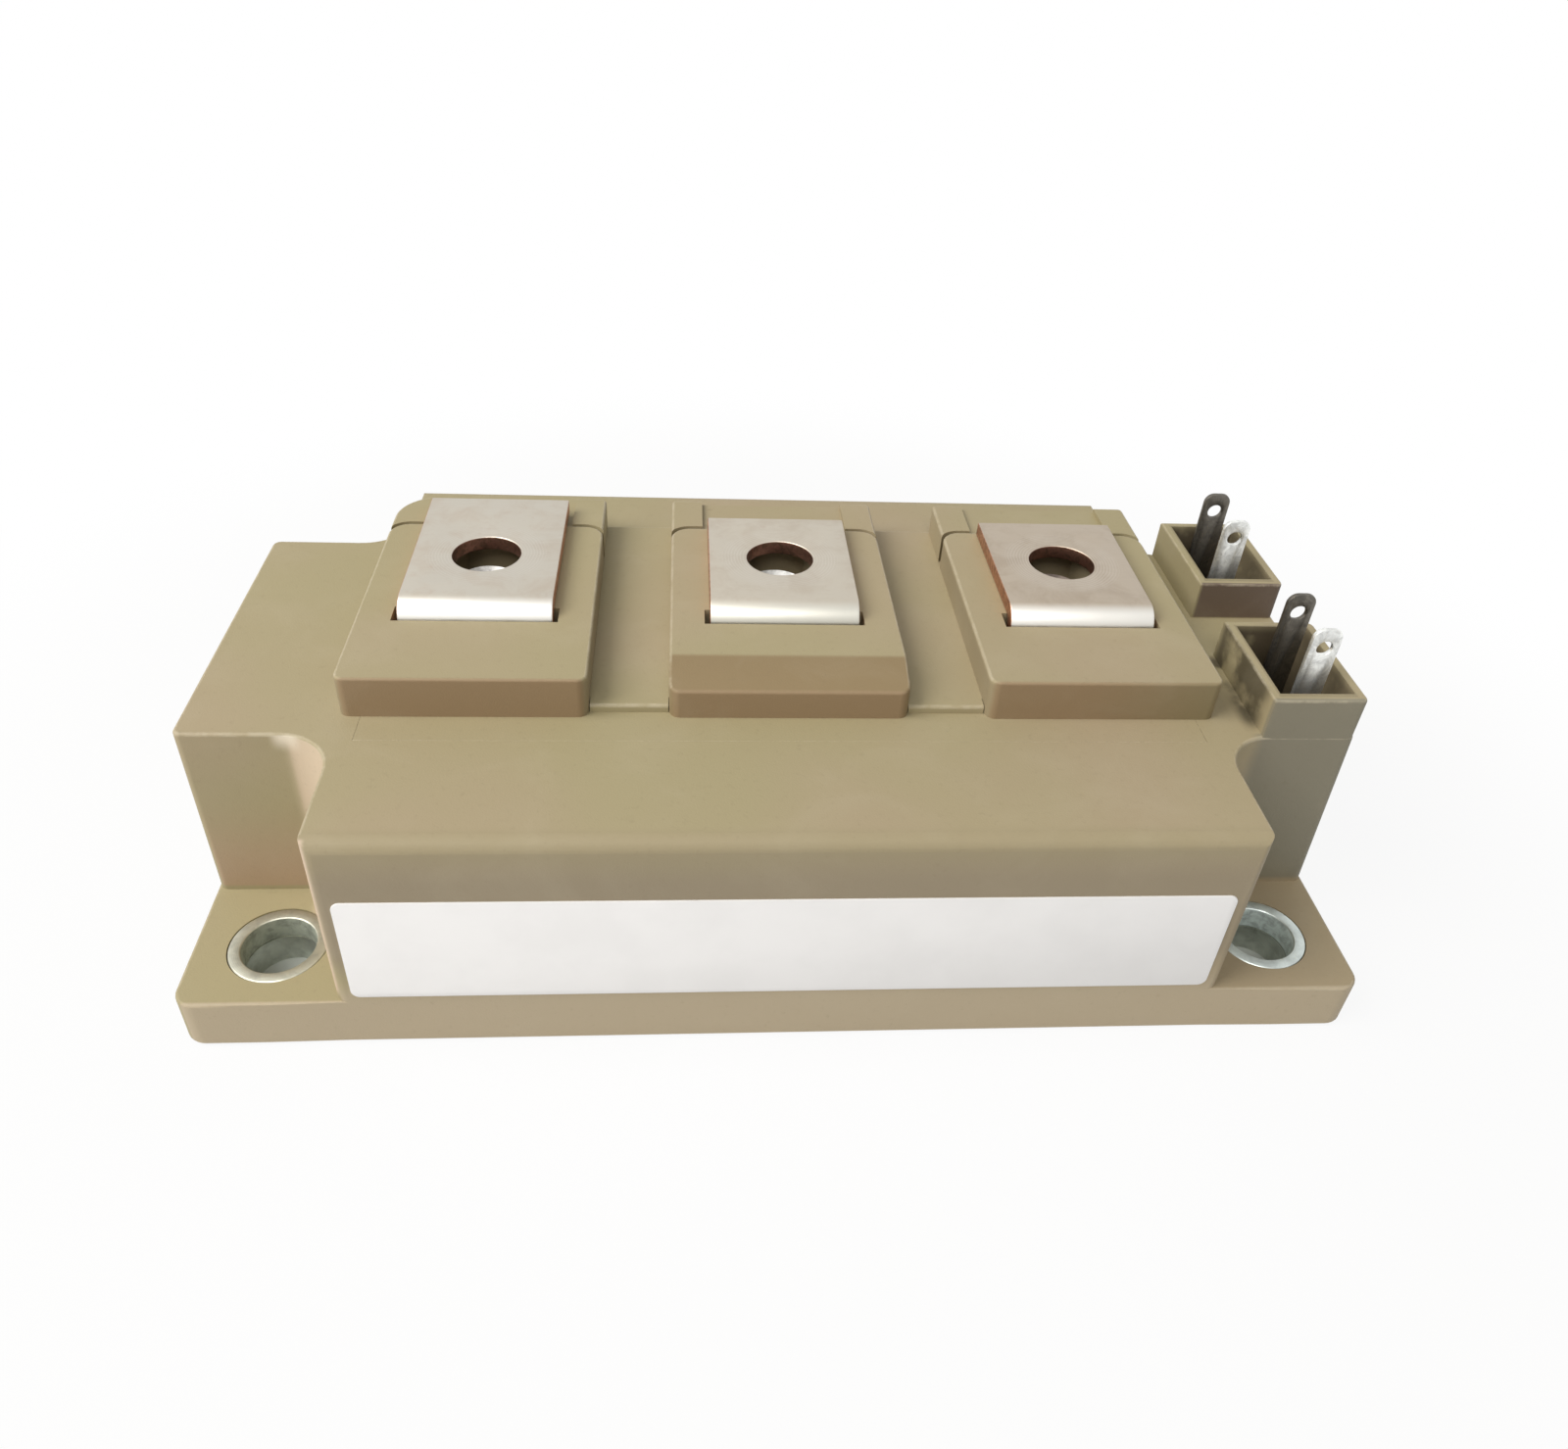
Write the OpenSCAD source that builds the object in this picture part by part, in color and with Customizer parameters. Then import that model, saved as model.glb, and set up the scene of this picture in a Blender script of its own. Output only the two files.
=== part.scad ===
// Three-terminal IGBT power module: moulded case on a copper base plate, bent
// busbar terminals over captive nuts, plug-in control tabs and the power stage inside.
// Bottom of the base plate at Z = 0, long side along X, label side towards -Y.

/* [Flange and case] */
// Length of the mounting flange
body_l = 108; // [107:0.5:112]
// Width of the mounting flange
body_w = 62; // [61:0.5:64]
// Height of the flange top above the heatsink
flange_h = 5.5; // [5:0.1:6]
// Corner radius of the flange outline
flange_r = 2; // [1:0.25:3]
// Gap under the skirt, so that only the base plate touches the heatsink
skirt_lift = 0.3; // [0.1:0.1:0.5]
// Thickness of the skirt round the base plate
skirt_t = 2; // [1.5:0.1:2.2]
// Height of the deck
deck_h = 24.4; // [24:0.1:25]
// Length of the end block at each end of the wide middle block
end_l = 14; // [13.8:0.1:14.2]
// Set-back of the long walls from the flange edge
wall_inset = 0.2; // [0.2:0.05:0.4]
// Depth of the corner notches, from the side of the flange to the end block
notch_w = 14.1; // [13.8:0.1:14.2]
// Set-back of the left end wall from the flange edge
left_inset = 0.2; // [0:0.1:1]
// Set-back of the right end wall from the flange edge, at its foot
right_inset = 0.3; // [0.2:0.1:0.5]
// Lean of the right end wall off the vertical, in degrees
lean = 2.1; // [1.5:0.1:2.7]
// Radius of the fillet inside each corner notch
notch_r = 4.8; // [3:0.2:5]
// Radius along the top of the front wall
front_edge_r = 1; // [0.6:0.1:1.5]
// Radius along the top of the back wall
back_edge_r = 3; // [2:0.25:4]
// Thickness of the case walls
wall_t = 2.2; // [1.8:0.1:2.4]
// Depth of the deck shelf that carries the lid
shelf_t = 4; // [3.5:0.1:4.5]

/* [Base plate and mounting] */
// Thickness of the copper base plate
base_t = 3; // [2.5:0.1:3.5]
// Clearance between the base plate and the skirt
base_gap = 0.1; // [0.05:0.05:0.2]
// Corner radius of the base plate
base_r = 3; // [2:0.5:4]
// Distance of the mounting holes from the ends of the flange
hole_end = 7.5; // [7.2:0.1:7.8]
// Distance of the mounting holes from the sides of the flange
hole_side = 7; // [6.8:0.1:7.2]
// Diameter of the screw hole through collar and base plate
hole_d = 6.6; // [6.4:0.1:7]
// Outer diameter of the steel collars
collar_d = 8.9; // [8.5:0.1:9.2]
// Clearance between a collar and its seat
collar_gap = 0.05; // [0.02:0.01:0.1]

/* [Lid] */
// Distance of the lid panel's ends from the ends of the middle block
lid_inset = 1.7; // [1.5:0.1:2]
// Distance of the lid's front edge from the centre line
lid_front = 17.7; // [17:0.1:18]
// Distance of the lid's back edge from the centre line
lid_back = 21.2; // [21:0.1:21.6]
// Thickness of the lid panel
lid_t = 2; // [1.6:0.1:2.4]
// Clearance round the lid panel
lid_gap = 0.06; // [0.04:0.02:0.2]
// Width of the ledge under the lid
ledge_w = 1.6; // [1.2:0.1:1.8]
// Height of the raised table above the deck
table_h = 0.8; // [0.6:0.1:1]
// Reach of the table past each end of the middle block
table_over = 0.2; // [0:0.05:0.3]
// Set-back of the table between the nut holders from their front faces
table_setback = 0.8; // [0.4:0.1:1.2]
// Distance of the table's back edge from the centre line
table_back = 20; // [19.5:0.1:20.5]
// Radius of the outer back corner of the left stand
shoulder_r = 4.5; // [3:0.5:5.5]
// Depth of the channel behind each terminal plate
channel_d = 0.5; // [0.3:0.1:0.8]

/* [Nut holders and nuts] */
// Width of each nut holder
holder_w = 22; // [21:0.2:22.4]
// Distance of the holder's front face from the centre line
holder_front = 14.3; // [14:0.1:14.8]
// Distance of the holder's back edge from the centre line
holder_back = 13.8; // [13.4:0.1:14]
// Height of the holder tops
stand_h = 28.5; // [28:0.1:29]
// Radius of the holder's back corners
holder_back_r = 2; // [1:0.25:3]
// Radius of the holder's front corners
holder_front_r = 1; // [0.5:0.1:1.6]
// Width of the lip under each holder's front, down to the deck
lip_w = 2; // [1.6:0.1:3]
// Seam left between a holder and the lid behind it
seam = 0.35; // [0.2:0.05:0.5]
// Width of the boss under each holder
boss_w = 14.4; // [14.2:0.1:15]
// Distance of the boss front from the centre line
boss_front = 8; // [7.6:0.1:9]
// Distance of the boss back from the centre line
boss_back = 12.6; // [12.2:0.1:13]
// Height of the underside of the boss
boss_low = 17.4; // [16.5:0.1:18.5]
// Length of the chamfer on the front of the middle holder
brow_l = 4.2; // [3:0.2:4.6]
// Drop of the chamfer on the front of the middle holder
brow_d = 1.2; // [0.8:0.1:1.6]
// Size of the captive nuts across the flats
nut_af = 10; // [9.8:0.1:10]
// Thickness of the captive nuts
nut_t = 5; // [4.5:0.1:5.2]
// Diameter of the nut bore
nut_bore = 5.1; // [5:0.05:5.4]
// Countersink at each end of the nut bore
nut_mouth = 0.4; // [0.2:0.1:0.6]
// Clearance round each nut in its pocket
nut_gap = 0.1; // [0.05:0.05:0.2]
// Diameter of the room for the screw end under the nut
tip_d = 7; // [6.6:0.2:8]
// Thickness of plastic left under the screw end
tip_floor = 1; // [0.8:0.1:1.4]

/* [Main terminals] */
// Thickness of the terminal plates
plate_t = 1.5; // [1.2:0.1:1.6]
// Width of the terminal plates
plate_w = 14.4; // [14:0.1:14.8]
// Distance of the bend's front face from the centre line
plate_front = 4.7; // [4.5:0.1:4.9]
// Distance of the back edge of the middle and right plates from the centre line
plate_back = 13.4; // [12.8:0.1:13.6]
// Distance of the back edge of the left plate from the centre line
long_back = 16.8; // [16:0.1:18]
// Outside radius of the bends
bend_r = 2.2; // [2:0.1:2.4]
// Distance of the screw hole behind the centre line
stud_y = 5.1; // [4.9:0.1:5.4]
// Diameter of the screw hole in each plate
stud_d = 6.7; // [6.4:0.1:7]
// Width of the leg inside the case
leg_w = 10; // [9:0.2:10.4]
// Height at which the plate narrows to the leg
neck_h = 26; // [25.9:0.1:26.4]
// Length of the solder foot
foot_l = 4; // [3:0.2:4.4]
// Width of the split between the two feet of the middle terminal
split_w = 2.8; // [2.6:0.1:3.2]
// Height of the split between the two feet of the middle terminal
split_h = 12; // [10:0.5:14]
// Clearance round each leg in its slot
slot_gap = 0.25; // [0.15:0.05:0.3]
// Clearance at each end of the slot in the holder top
slot_end = 0.5; // [0.3:0.1:0.6]

/* [Control sockets and tabs] */
// Set-back of the sockets from the top of the right end wall
socket_out = 0.1; // [0.05:0.05:0.3]
// Width of each socket
socket_w = 9; // [8.8:0.1:9.2]
// Distance of the sockets' inner ends from the centre line
socket_y = 3.5; // [3.3:0.1:3.6]
// Thickness of the socket walls
socket_t = 0.9; // [0.8:0.1:1]
// Thickness of the wall at the front end of each socket
socket_end_t = 1.2; // [1:0.1:1.5]
// Height of the socket floor
socket_floor = 17; // [16.6:0.1:18]
// Thickness of the socket floor
socket_floor_t = 2.5; // [2:0.1:3]
// Width of the tabs
tab_w = 2.8; // [2.6:0.1:3]
// Thickness of the tabs
tab_t = 0.5; // [0.5:0.05:0.8]
// Height of the tab tips
tab_h = 34; // [33:0.2:35]
// Radius of the corners at the tab tips
tab_r = 1; // [0.4:0.1:1.2]
// Diameter of the hole near each tab tip
tab_hole_d = 1.5; // [1.1:0.1:1.6]
// Distance of that hole below the tip
tab_hole_z = 2; // [1.8:0.1:2.4]
// Distance of each tab from its end of the socket
tab_inset = 3.7; // [3.5:0.1:3.9]
// Offset of the back pair of tabs from the middle of the sockets
back_tab_dx = -0.6; // [-0.8:0.1:0]
// Offset of the front pair of tabs from the middle of the sockets
front_tab_dx = 0.4; // [0:0.1:0.8]
// Width of the shoulders that stand on the socket floor
shoulder_w = 4.2; // [3.6:0.1:4.6]
// Height of the shoulders
shoulder_h = 1.2; // [0.8:0.1:1.6]
// Width of the pin under each tab
pin_w = 1.6; // [1.2:0.1:2]
// Height of the underside of the pins
pin_low = 13.2; // [12.8:0.1:13.6]
// Clearance round each pin in the socket floor
pin_gap = 0.1; // [0.05:0.05:0.15]
// Diameter of the leads inside the case
lead_d = 0.8; // [0.6:0.1:1]
// Radius of the bend in each lead
lead_r = 1.5; // [1.2:0.1:2]

/* [Power stage] */
// Gap between the two ceramic tiles
tile_gap = 1.2; // [1:0.1:1.6]
// Room between the outer end of each tile and the case wall
tile_end = 0.6; // [0.4:0.1:0.8]
// Room between the sides of the tiles and the case walls
tile_side = 3.1; // [2.5:0.1:3.4]
// Thickness of each ceramic tile
tile_t = 0.65; // [0.4:0.05:1]
// Border of bare ceramic round the copper
tile_edge = 0.8; // [0.6:0.1:0.8]
// Thickness of the copper and solder under a tile
backing_t = 0.35; // [0.3:0.05:0.5]
// Thickness of the copper tracks
track_t = 0.3; // [0.2:0.05:0.4]
// Length of the emitter track
emitter_l = 6; // [5.6:0.1:6.2]
// Gap between tracks
track_gap = 1.2; // [0.8:0.1:1.2]
// Size of the pads for the control leads
pad_l = 1.3; // [1.1:0.1:1.3]
// Border of bare ceramic beyond the lead pads
pad_end = 0.6; // [0.5:0.05:0.8]
// Gap between the collector track and the lead pads
pad_gap = 0.5; // [0.4:0.1:0.6]
// Side of the square switch chips
igbt_s = 10; // [9:0.5:10]
// Distance of the switch chips from the inner edge of the collector track
igbt_inset = 1.9; // [1.5:0.1:2.2]
// Length of the diode chips
diode_l = 6.4; // [6:0.1:6.6]
// Room between the switch chips and the diode chips
chip_gap = 2.3; // [2:0.1:2.6]
// Distance of the outer switch chips from the sides of the track
igbt_edge = 3.7; // [3.4:0.1:4]
// Distance of the outer diode chips from the sides of the track
diode_edge = 2.1; // [1.8:0.1:2.4]
// Distance of the middle chips behind the centre line, clear of the terminal legs
chip_mid_y = 2.6; // [2.4:0.1:2.8]
// Thickness of the chips with their solder
chip_t = 0.3; // [0.2:0.05:0.4]
// Diameter of the aluminium bond wires
wire_d = 0.4; // [0.3:0.05:0.5]
// Distance between neighbouring bond wires
wire_pitch = 1.6; // [1.2:0.1:1.8]
// Rise of the bond wire loops
wire_rise = 2; // [1.5:0.1:2.4]
// Length of each bond foot
bond_l = 1; // [0.8:0.1:1.2]
// Height of the gel filling
gel_h = 11.5; // [10.5:0.1:12]
// Height of the free room left in the gel over the chips
gel_room = 8; // [7.6:0.1:8.4]

/* [Label] */
// Distance of the label's ends from the ends of the middle block
label_inset = 1.6; // [1:0.1:5]
// Height of the label
label_h = 11.6; // [10:0.1:12]
// Thickness of the label
label_t = 0.15; // [0.1:0.05:0.2]
// Corner radius of the label
label_r = 0.8; // [0.4:0.1:1.5]
// Height of the label's lower edge
label_low = 6.3; // [6:0.1:6.8]

/* [Hidden] */
$fn = 96;
eps = 0.01;
over = 1;
case_c = [0.74, 0.66, 0.50];
steel_c = [0.70, 0.70, 0.69];
plate_c = [0.80, 0.77, 0.74];
copper_c = [0.78, 0.50, 0.34];
ceramic_c = [0.92, 0.92, 0.90];
chip_c = [0.36, 0.38, 0.42];
wire_c = [0.84, 0.84, 0.85];
gel_c = [0.80, 0.84, 0.86];
paper_c = [0.95, 0.95, 0.95];
wall_y = body_w / 2 - wall_inset;
left_x = body_l / 2 - left_inset;
right_x = body_l / 2 - right_inset;
block_x = body_l / 2 - end_l;
end_y = body_w / 2 - notch_w;
hole_x = body_l / 2 - hole_end;
hole_y = body_w / 2 - hole_side;
lid_x = block_x - lid_inset;
shelf_h = deck_h - shelf_t;
seat_h = deck_h - lid_t;
table_top = deck_h + table_h;
table_x = block_x + table_over;
pitch = table_x - holder_w / 2;
plate_top = stand_h + plate_t;
base_x = body_l / 2 - skirt_t - base_gap;
base_y = body_w / 2 - skirt_t - base_gap;
backing_z = base_t + backing_t;
tile_z = backing_z + tile_t;
track_z = tile_z + track_t;
chip_z = track_z + chip_t;
end_top_x = right_x - (deck_h - flange_h) * tan(lean);
socket_x = end_top_x - socket_out - socket_w;
socket_mid_x = socket_x + socket_w / 2;
socket_room_h = socket_floor - socket_floor_t;
channel_w = plate_w + 2 * slot_end;
nut_z = stand_h - nut_t;
inner_r = bend_r - plate_t;
tile_x = tile_gap / 2;
tile_l = block_x - wall_t - tile_end - tile_x;
tile_w = 2 * (wall_y - wall_t - tile_side);
emitter_x = tile_x + tile_edge;
collector_x = emitter_x + emitter_l + track_gap;
pad_x = tile_x + tile_l - pad_end - pad_l;
collector_l = pad_x - pad_gap - collector_x;
track_y = tile_w / 2 - tile_edge;
lead_x = pad_x + pad_l / 2;
igbt_x = collector_x + igbt_inset + igbt_s / 2;
diode_x = igbt_x + igbt_s / 2 + chip_gap + diode_l / 2;
igbt_row = track_y - igbt_edge - igbt_s / 2;
diode_row = track_y - diode_edge - igbt_s / 2;
igbt_y = [-igbt_row, chip_mid_y, igbt_row];
diode_y = [-diode_row, chip_mid_y, diode_row];
diode_wire_y = (igbt_y + diode_y) / 2;
stations = [-pitch, 0, pitch];

// ---------- shared shapes ----------

// Rounded rectangle between two corners, one radius for the front and one for the back
module plan(x0, x1, y0, y1, rf, rb) {
  translate([x0, y0 + rf]) square([x1 - x0, y1 - y0 - rf - rb]);
  translate([x0 + rf, y0]) square([x1 - x0 - 2 * rf, rf + eps]);
  translate([x0 + rb, y1 - rb - eps]) square([x1 - x0 - 2 * rb, rb + eps]);
  for (x = [x0 + rf, x1 - rf]) {
    translate([x, y0 + rf]) circle(r = rf);
  }
  for (x = [x0 + rb, x1 - rb]) {
    translate([x, y1 - rb]) circle(r = rb);
  }
}

// Straight box between two corners
module block(lo, hi) {
  translate(lo) cube([hi[0] - lo[0], hi[1] - lo[1], hi[2] - lo[2]]);
}

// Upright prism of a plan between two heights
module rise(z0, z1) {
  translate([0, 0, z0]) linear_extrude(height = z1 - z0) children();
}

// Side profile (drawn as Y, Z) swept along X between two positions
module sweep_x(x0, x1) {
  rotate([90, 0, 90]) translate([0, 0, x0]) linear_extrude(height = x1 - x0) children();
}

// Repeats a piece at the four mounting holes
module at_corners() {
  for (sx = [-1, 1], sy = [-1, 1]) {
    translate([sx * hole_x, sy * hole_y, 0]) children();
  }
}

// ---------- base plate, collars, case ----------

module base_plate() {
  color(copper_c) difference() {
    rise(0, base_t) plan(-base_x, base_x, -base_y, base_y, base_r, base_r);
    at_corners() translate([0, 0, -over]) cylinder(d = hole_d, h = base_t + 2 * over);
  }
}

module collar(sx, sy) {
  color(steel_c) translate([sx * hole_x, sy * hole_y, base_t]) difference() {
    cylinder(d = collar_d, h = flange_h - base_t);
    translate([0, 0, -over]) cylinder(d = hole_d, h = flange_h + 2 * over);
  }
}

// Cross-section of the wide block, its two top edges rounded
module block_profile() {
  front = -wall_y + front_edge_r;
  back = wall_y - back_edge_r;
  translate([front, flange_h - eps]) square([back - front, deck_h - flange_h + eps]);
  translate([-wall_y, flange_h - eps]) square([wall_y, deck_h - front_edge_r - flange_h + eps]);
  translate([0, flange_h - eps]) square([wall_y, deck_h - back_edge_r - flange_h + eps]);
  translate([front, deck_h - front_edge_r]) circle(r = front_edge_r);
  translate([back, deck_h - back_edge_r]) circle(r = back_edge_r);
}

// Narrow block that forms both ends, its right end wall leaning inwards
module end_blocks() {
  rotate([90, 0, 0]) translate([0, 0, -end_y]) linear_extrude(height = 2 * end_y)
    polygon([[-left_x, flange_h - eps], [right_x, flange_h - eps], [right_x, flange_h],
      [end_top_x, deck_h], [-left_x, deck_h]]);
}

// Concave corner between an end block and the wide block
module notch_fillet(sx, sy) {
  rise(flange_h - eps, deck_h) scale([sx, sy]) translate([block_x - eps, end_y - eps]) difference() {
    square([notch_r + eps, notch_r + eps]);
    translate([notch_r + eps, notch_r + eps]) circle(r = notch_r);
  }
}

module case_outside() {
  rise(skirt_lift, flange_h) plan(-body_l / 2, body_l / 2, -body_w / 2, body_w / 2, flange_r, flange_r);
  sweep_x(-block_x, block_x) block_profile();
  end_blocks();
  for (sx = [-1, 1], sy = [-1, 1]) {
    notch_fillet(sx, sy);
  }
  block([socket_x, socket_y, deck_h - eps], [socket_x + socket_w, end_y, stand_h]);
  block([socket_x, -end_y, deck_h - eps], [socket_x + socket_w, -socket_y, stand_h]);
}

module case_inside() {
  // Seat of the base plate
  block([-base_x - base_gap, -base_y - base_gap, -over], [base_x + base_gap, base_y + base_gap, base_t]);
  // Room for the power stage, and the hollows of the end blocks
  block([-block_x + wall_t, -wall_y + wall_t, 0], [block_x - wall_t, wall_y - wall_t, shelf_h]);
  block([-left_x + wall_t, -end_y + wall_t, 0], [0, end_y - wall_t, shelf_h]);
  block([0, -end_y + wall_t, 0], [right_x - wall_t, end_y - wall_t, socket_room_h]);
  // Stepped opening for the lid
  block([-lid_x + ledge_w, -lid_front + ledge_w, shelf_h - over],
    [lid_x - ledge_w, lid_back - ledge_w, deck_h]);
  block([-lid_x - lid_gap, -lid_front - lid_gap, seat_h],
    [lid_x + lid_gap, lid_back + lid_gap, deck_h + over]);
  at_corners() cylinder(d = collar_d + 2 * collar_gap, h = flange_h + over);
  socket_inside();
}

module socket_inside() {
  block([socket_x + socket_t, socket_y + socket_end_t, socket_floor],
    [socket_x + socket_w - socket_t, end_y - socket_t, stand_h + over]);
  block([socket_x + socket_t, -end_y + socket_end_t, socket_floor],
    [socket_x + socket_w - socket_t, -socket_y - socket_t, stand_h + over]);
  for (i = [1:4]) {
    translate([tab_x(i), tab_y(i), socket_room_h - over])
      block([-pin_w / 2 - pin_gap, -tab_t / 2 - pin_gap, 0],
        [pin_w / 2 + pin_gap, tab_t / 2 + pin_gap, socket_floor_t + 2 * over]);
  }
}

module case() {
  color(case_c) difference() {
    case_outside();
    case_inside();
  }
}

// ---------- lid, nut holders, nuts ----------

// Stand behind a nut holder, moulded on the lid
module back_stand(i) {
  x = stations[i];
  y0 = holder_back - holder_back_r;
  difference() {
    block([x - holder_w / 2, y0, table_top - eps], [x + holder_w / 2, table_back, stand_h]);
    rise(table_top, stand_h + over)
      plan(x - holder_w / 2 - over, x + holder_w / 2 + over, y0 - over, holder_back + seam,
        eps, holder_back_r + over);
    block([x - channel_w / 2, y0, stand_h - channel_d],
      [x + channel_w / 2, table_back + over, stand_h + over]);
  }
}

// Cuts the outer back corner of the left stand to its radius
module shoulder_cut() {
  x0 = -table_x;
  rise(table_top, stand_h + over) difference() {
    translate([x0 - over, table_back - shoulder_r]) square([shoulder_r + over, shoulder_r + over]);
    translate([x0 + shoulder_r, table_back - shoulder_r]) circle(r = shoulder_r);
  }
}

module lid() {
  color(case_c) difference() {
    union() {
      block([-lid_x, -lid_front, seat_h], [lid_x, lid_back, deck_h]);
      block([-table_x, -holder_front + table_setback, deck_h - eps], [table_x, table_back, table_top]);
      for (i = [0:2]) {
        back_stand(i);
      }
    }
    // Everything outside the opening stands on the deck
    for (s = [-1, 1]) {
      translate([s * (lid_x + body_l / 2), 0, deck_h - body_w / 2])
        cube([body_l, body_w, body_w], center = true);
    }
    for (x = stations) {
      block([x - boss_w / 2 - lid_gap, -boss_front - lid_gap, 0],
        [x + boss_w / 2 + lid_gap, boss_back + lid_gap, stand_h - channel_d]);
      block([x - holder_w / 2 - lid_gap, -holder_front, deck_h],
        [x + holder_w / 2 + lid_gap, -holder_front + lip_w + lid_gap, table_top + over]);
    }
    shoulder_cut();
  }
}

// Outline of a nut holder seen from above
module holder_plan(x) {
  plan(x - holder_w / 2, x + holder_w / 2, -holder_front, holder_back, holder_front_r, holder_back_r);
}

// Plastic block that fills the front of each stand and holds the nut
module nut_holder(i) {
  x = stations[i];
  leg_y0 = -plate_front - slot_gap;
  leg_y1 = -plate_front + plate_t + slot_gap;
  color(case_c) difference() {
    union() {
      rise(table_top, stand_h) holder_plan(x);
      rise(deck_h, table_top + eps) intersection() {
        holder_plan(x);
        translate([x - holder_w / 2, -holder_front]) square([holder_w, lip_w]);
      }
      block([x - boss_w / 2, -boss_front, boss_low], [x + boss_w / 2, boss_back, table_top + eps]);
    }
    translate([x, stud_y, nut_z])
      cylinder(d = (nut_af + 2 * nut_gap) / cos(30), h = nut_t + over, $fn = 6);
    translate([x, stud_y, boss_low + tip_floor]) cylinder(d = tip_d, h = nut_t + nut_z - boss_low);
    block([x - channel_w / 2, leg_y0, neck_h - slot_gap],
      [x + channel_w / 2, -plate_front + bend_r, stand_h + over]);
    block([x - leg_w / 2 - slot_gap, leg_y0, boss_low - over], [x + leg_w / 2 + slot_gap, leg_y1, stand_h]);
    if (i == 1) {
      brow_cut();
    }
  }
}

// Sloping front of the middle holder
module brow_cut() {
  sweep_x(-holder_w / 2 - over, holder_w / 2 + over) polygon([
    [-holder_front - over, stand_h - brow_d - over * brow_d / brow_l],
    [-holder_front + brow_l, stand_h],
    [-holder_front + brow_l, stand_h + over],
    [-holder_front - over, stand_h + over]]);
}

// Profile that turns down the corners of a nut
module nut_barrel() {
  flat = nut_af / 2;
  corner = flat / cos(30);
  drop = (corner - flat) * tan(30);
  rotate_extrude() polygon([[0, 0], [flat, 0], [corner, drop],
    [corner, nut_t - drop], [flat, nut_t], [0, nut_t]]);
}

// Bore of a nut with a countersink at each end
module nut_hole() {
  r = nut_bore / 2;
  wide = r + nut_mouth + over;
  rotate_extrude() polygon([[0, -over], [wide, -over], [r, nut_mouth],
    [r, nut_t - nut_mouth], [wide, nut_t + over], [0, nut_t + over]]);
}

module hex_nut(i) {
  color(steel_c) translate([stations[i], stud_y, nut_z]) difference() {
    intersection() {
      cylinder(d = nut_af / cos(30), h = nut_t, $fn = 6);
      nut_barrel();
    }
    nut_hole();
  }
}

// ---------- main terminals ----------

// Quarter of a bent strip round a centre, in the corner given by the two signs
module quarter_bend(y, z, sy, sz) {
  translate([y, z]) intersection() {
    difference() {
      circle(r = bend_r);
      circle(r = inner_r);
    }
    translate([sy > 0 ? 0 : -bend_r, sz > 0 ? 0 : -bend_r]) square([bend_r, bend_r]);
  }
}

// Top plate, its bend and the wide start of the leg
module plate_profile(back) {
  y = -plate_front + bend_r;
  z = plate_top - bend_r;
  translate([y, stand_h]) square([back - y, plate_t]);
  quarter_bend(y, z, -1, 1);
  translate([-plate_front, neck_h]) square([plate_t, z - neck_h]);
}

// Leg down to the tile, and its foot turned towards the front
module leg_profile() {
  y = -plate_front - inner_r;
  z = track_z + bend_r;
  translate([-plate_front, z]) square([plate_t, neck_h - z]);
  quarter_bend(y, z, 1, -1);
  translate([y - foot_l, track_z]) square([foot_l, plate_t]);
}

module main_terminal(i) {
  x = stations[i];
  color(plate_c) difference() {
    union() {
      sweep_x(x - plate_w / 2, x + plate_w / 2) plate_profile(i == 0 ? long_back : plate_back);
      sweep_x(x - leg_w / 2, x + leg_w / 2) leg_profile();
    }
    translate([x, stud_y, stand_h - over]) cylinder(d = stud_d, h = plate_t + 2 * over);
    if (i == 1) {
      block([-split_w / 2, -body_w / 2, 0], [split_w / 2, 0, split_h]);
    }
  }
}

// ---------- control tabs and leads ----------

// Tabs 1 and 2 stand in the back socket, 3 and 4 in the front one
function tab_x(i) = socket_mid_x + (i < 3 ? back_tab_dx : front_tab_dx);
function tab_y(i) = (i < 3 ? 1 : -1) * (i == 1 || i == 4 ? end_y - tab_inset : socket_y + tab_inset);

// Side of a tab: rounded tip with its hole, shoulders on the socket floor, pin below
module tab_outline() {
  difference() {
    union() {
      translate([-tab_w / 2, socket_floor]) square([tab_w, tab_h - tab_r - socket_floor]);
      translate([-tab_w / 2 + tab_r, tab_h - tab_r]) square([tab_w - 2 * tab_r, tab_r]);
      for (s = [-1, 1]) {
        translate([s * (tab_w / 2 - tab_r), tab_h - tab_r]) circle(r = tab_r);
      }
      translate([-shoulder_w / 2, socket_floor]) square([shoulder_w, shoulder_h]);
      translate([-pin_w / 2, pin_low]) square([pin_w, socket_floor - pin_low + eps]);
    }
    translate([0, tab_h - tab_hole_z]) circle(d = tab_hole_d);
  }
}

module control_tab(i) {
  color(plate_c) translate([tab_x(i), tab_y(i) + tab_t / 2, 0]) rotate([90, 0, 0])
    linear_extrude(height = tab_t) tab_outline();
}

// Round wire from the pin along the case, bent down to its pad
module control_lead(i) {
  side = i < 3 ? -1 : 1;
  x_end = side * lead_x;
  z = pin_low - lead_d / 2;
  color(copper_c) translate([0, tab_y(i), 0]) {
    translate([x_end + lead_r, 0, z]) rotate([0, 90, 0])
      cylinder(d = lead_d, h = tab_x(i) + pin_w / 2 - x_end - lead_r);
    translate([x_end + lead_r, 0, z - lead_r]) rotate([90, 0, 0]) rotate([0, 0, 90])
      rotate_extrude(angle = 90) translate([lead_r, 0]) circle(d = lead_d);
    translate([x_end, 0, track_z]) cylinder(d = lead_d, h = z - lead_r - track_z);
  }
}

// ---------- power stage ----------

// Mirrors the right-hand half of the power stage to the left
module on_side(s) {
  if (s > 0) {
    children();
  } else {
    mirror([1, 0, 0]) children();
  }
}

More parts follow.
